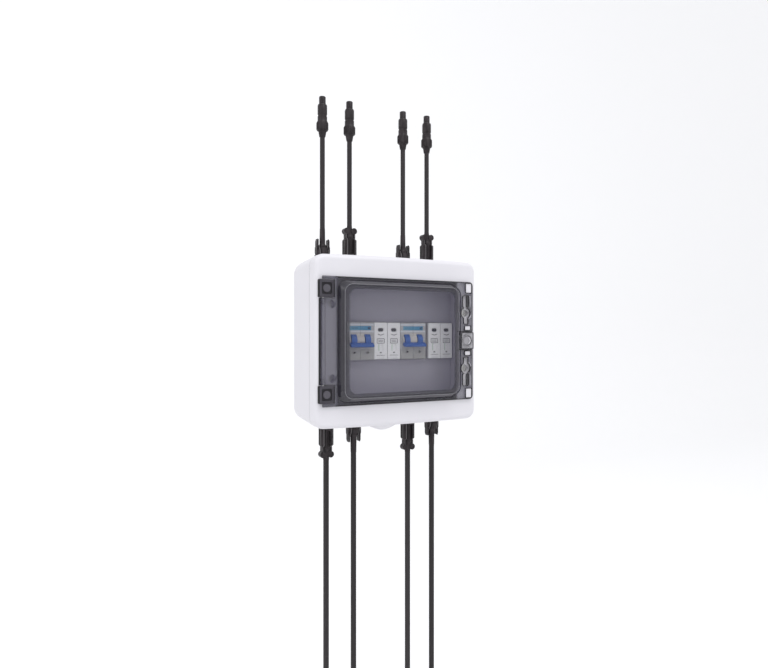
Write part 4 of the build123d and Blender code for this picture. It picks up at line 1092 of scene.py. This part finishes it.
# Painted highlights: pale beads for the glints beside each slot and on the latch's ring.
glints = [[(screw_x + 6.7, side * z) for z in (43.4, 50.0, 57.0)] for side in (1, -1)]
glints += [arc((screw_x, side * screw_z), 8.4, side * -15, side * -58, 6) for side in (1, -1)]
ring_line, ring_glint = arc(button_middle, 6.1, 0, 345, 23), arc(button_middle, 4.4, -65, 65, 8)
beads("slot_rims", slots, flange_face, 0.5, dark_edge, *on_door)
beads("window_rims", windows, flange_face, 0.42, dark_edge, *on_door)
beads("button_rim", [button_edge], button_face, 0.7, dark_edge, *on_latch)
beads("button_ring_line", [ring_line], button_face, 0.45, dark_edge, *on_latch)
beads("notch_lines", notch_lines, flange_face, 0.55, dark_edge, *on_door, closed=False)
beads("slot_glints", glints, 85.6, 0.5, painted_glint, *on_door, closed=False)
beads("button_glint", [ring_glint], button_face, 0.5, painted_glint, *on_latch, closed=False)
print(len(slots), "keyholes and", len(windows), "windows have rims")

# %% [markdown]
# ## Lines round the dome
# The dome rises from the flange and bends again into its bevel. Two slim beads follow these
# corners: a dark line at the foot, and a pale bead along the bend that is a painted highlight.

# %% Dome lines
foot_line = rounded_loop(-83.1, 81.5, -71.3, 71.3, 13.0, 10)
bend_line = rounded_loop(-77.6, 76.0, -65.8, 65.8, 10.2, 10)
bend_depth = 94.42
beads("dome_foot", [foot_line], flange_face, 0.45, dark_edge, *on_door)
# Painted highlight: a pale bead along the bend.
beads("dome_bend_highlight", [bend_line], bend_depth, 0.30, smoked_button, *on_door)
print("dome lines of", len(foot_line), "points each")

# %% [markdown]
# ## The door's outer edge and the seam of the box
# The flange ends in a thicker lip, which reads as a dark line above and below the door. Between
# base and cover a dark rubber bead sits in the gap as painted shadow, so the seam shows as a dark
# line all round the box.

# %% Edge lines
half_box, crown = 109.5, 1.5
door_edge = 74.0
lips = []
for side in (1, -1):
    straight = [(x, side * door_edge) for x in (-85.6, -40.0, 40.0)]
    corner = arc((97.6, side * 69.2), 4.8, side * 90, 0, 6)
    lips.append(straight + corner + [(102.4, side * 12.4)])
beads("door_lips", lips, 85.7, 0.6, dark_edge, *on_door, closed=False)


def crowned(loop):
    """The loop with its top and bottom edges arched like the enclosure's."""
    return [(x, z + math.copysign(crown * (1 - (x / half_box) ** 2), z)) for x, z in loop]


box_edge = rounded_loop(-109.1, 109.1, -99.6, 99.6, 11.7, 10)
seam = []
for (x, z), (next_x, next_z) in zip(box_edge, box_edge[1:] + box_edge[:1]):
    parts = 12 if abs(next_x - x) > 100 else 1
    seam += [(x + (next_x - x) * j / parts, z + (next_z - z) * j / parts) for j in range(parts)]
# Painted shadow: a dark bead in the gap between base and cover.
beads("seam_shadow", [crowned(seam)], 64.3, 0.36, dark_rubber, "enclosure", "dark_rubber")
print(len(lips), "door lips, and a seam of", len(seam), "points")

# %% [markdown]
# ## Keyhole inserts and window pads
# The keyholes aren't open to the screws: a thin dark insert closes each from behind. An upright
# dark strip at the right of each slot is painted shadow. In the small windows low white pads of the
# cover stand almost level with the door, so they look bright. A slim dark rail lies on the cover
# beside the door's barrel. All are flat plates, each made from one outline and a thickness.

# %% Inserts


def filled(name, loops, back, thickness, material, body, slot):
    """A piece of flat plates with the loops' shapes, from a depth forwards."""
    shape = bmesh.new()
    for loop in loops:
        plate(shape, *([at(x, depth, z) for x, z in loop] for depth in (back, back + thickness)))
    bmesh.ops.recalc_face_normals(shape, faces=shape.faces)
    add_piece(name, mesh_from(name, shape), material, body, slot)


cover_face = 83.0
# Painted shadow: a dark strip at the right of each keyhole slot.
shadow_strip_left, shadow_strip_right = screw_x + 1.6, screw_x + 4.9
shadow_strip_ends = ((42.4, 56.9), (-56.9, -42.4))
slot_shadows = [rounded_loop(shadow_strip_left, shadow_strip_right, *ends, 0.8) for ends in shadow_strip_ends]
rail = rounded_loop(-105.4, -101.6, -49.4, 49.4, 0.6)
filled("keyhole_inserts", slots, 83.45, 0.6, dark_insert, *on_door)
filled("slot_shadow_strips", slot_shadows, 84.05, 1.4, dark_edge, *on_door)
filled("window_pads", pads, cover_face, 2.3, white_plastic, "enclosure", "white_plastic")
filled("hinge_rail", [rail], cover_face, 0.4, dark_edge, *on_box)
print(len(slots), "inserts,", len(slot_shadows), "tongues,", len(pads), "pads and a rail")

# %% [markdown]
# ## Floor and light
# A pale sweep of paper runs under and behind the box, well below the cables, so no horizon shows.
# Light is soft: a bright even surround with one broad lamp from the front left and one from above.
# The Standard view keeps white plastic white, where the default view would turn it grey.

# %% Studio
paper, shader, start = new_finish("paper", Roughness=0.9)
fibre = noise(start, 400.0, 3.0)
feed(shader, Base_Color=blend_colour(start, fibre, grey(0.93), grey(0.95)))

floor_level, bend_start, bend_radius = -0.62, 1.6, 0.8
bend = arc((bend_start, floor_level + bend_radius), bend_radius, -90, 0, 8)
profile = [(-6.0, floor_level)] + bend + [(bend_start + bend_radius, 4.0)]
sweep = bmesh.new()
left_edge, right_edge = ([sweep.verts.new((x, y, z)) for y, z in profile] for x in (-5.0, 7.0))
for k in range(len(profile) - 1):
    sweep.faces.new((left_edge[k], right_edge[k], right_edge[k + 1], left_edge[k + 1]))
mesh = mesh_from("paper_sweep", sweep)
mesh.materials.append(paper)
for polygon in mesh.polygons:
    polygon.use_smooth = True
placed("paper_sweep", mesh)

world = bpy.data.worlds.new("surround")
world.use_nodes = True
background = world.node_tree.nodes["Background"].inputs
background["Color"].default_value = (0.97, 0.975, 1.0, 1)
background["Strength"].default_value = 1.0
bpy.context.scene.world = world


def soft_lamp(name, place, size, power):
    """A square lamp aimed at the origin, with its size in metres and its power in watts."""
    data = bpy.data.lights.new(name, "AREA")
    data.size = size
    data.energy = power
    lamp = placed(name, data)
    lamp.location = place
    lamp.rotation_euler = (-Vector(place)).to_track_quat("-Z", "Y").to_euler()


soft_lamp("key", (-2.2, -0.9, 1.2), 1.6, 10.0)
soft_lamp("top", (0.2, -1.1, 1.9), 1.2, 17.0)
bpy.context.scene.view_settings.view_transform = "Standard"
print(f"paper floor at {floor_level} m, two lamps and an even surround")
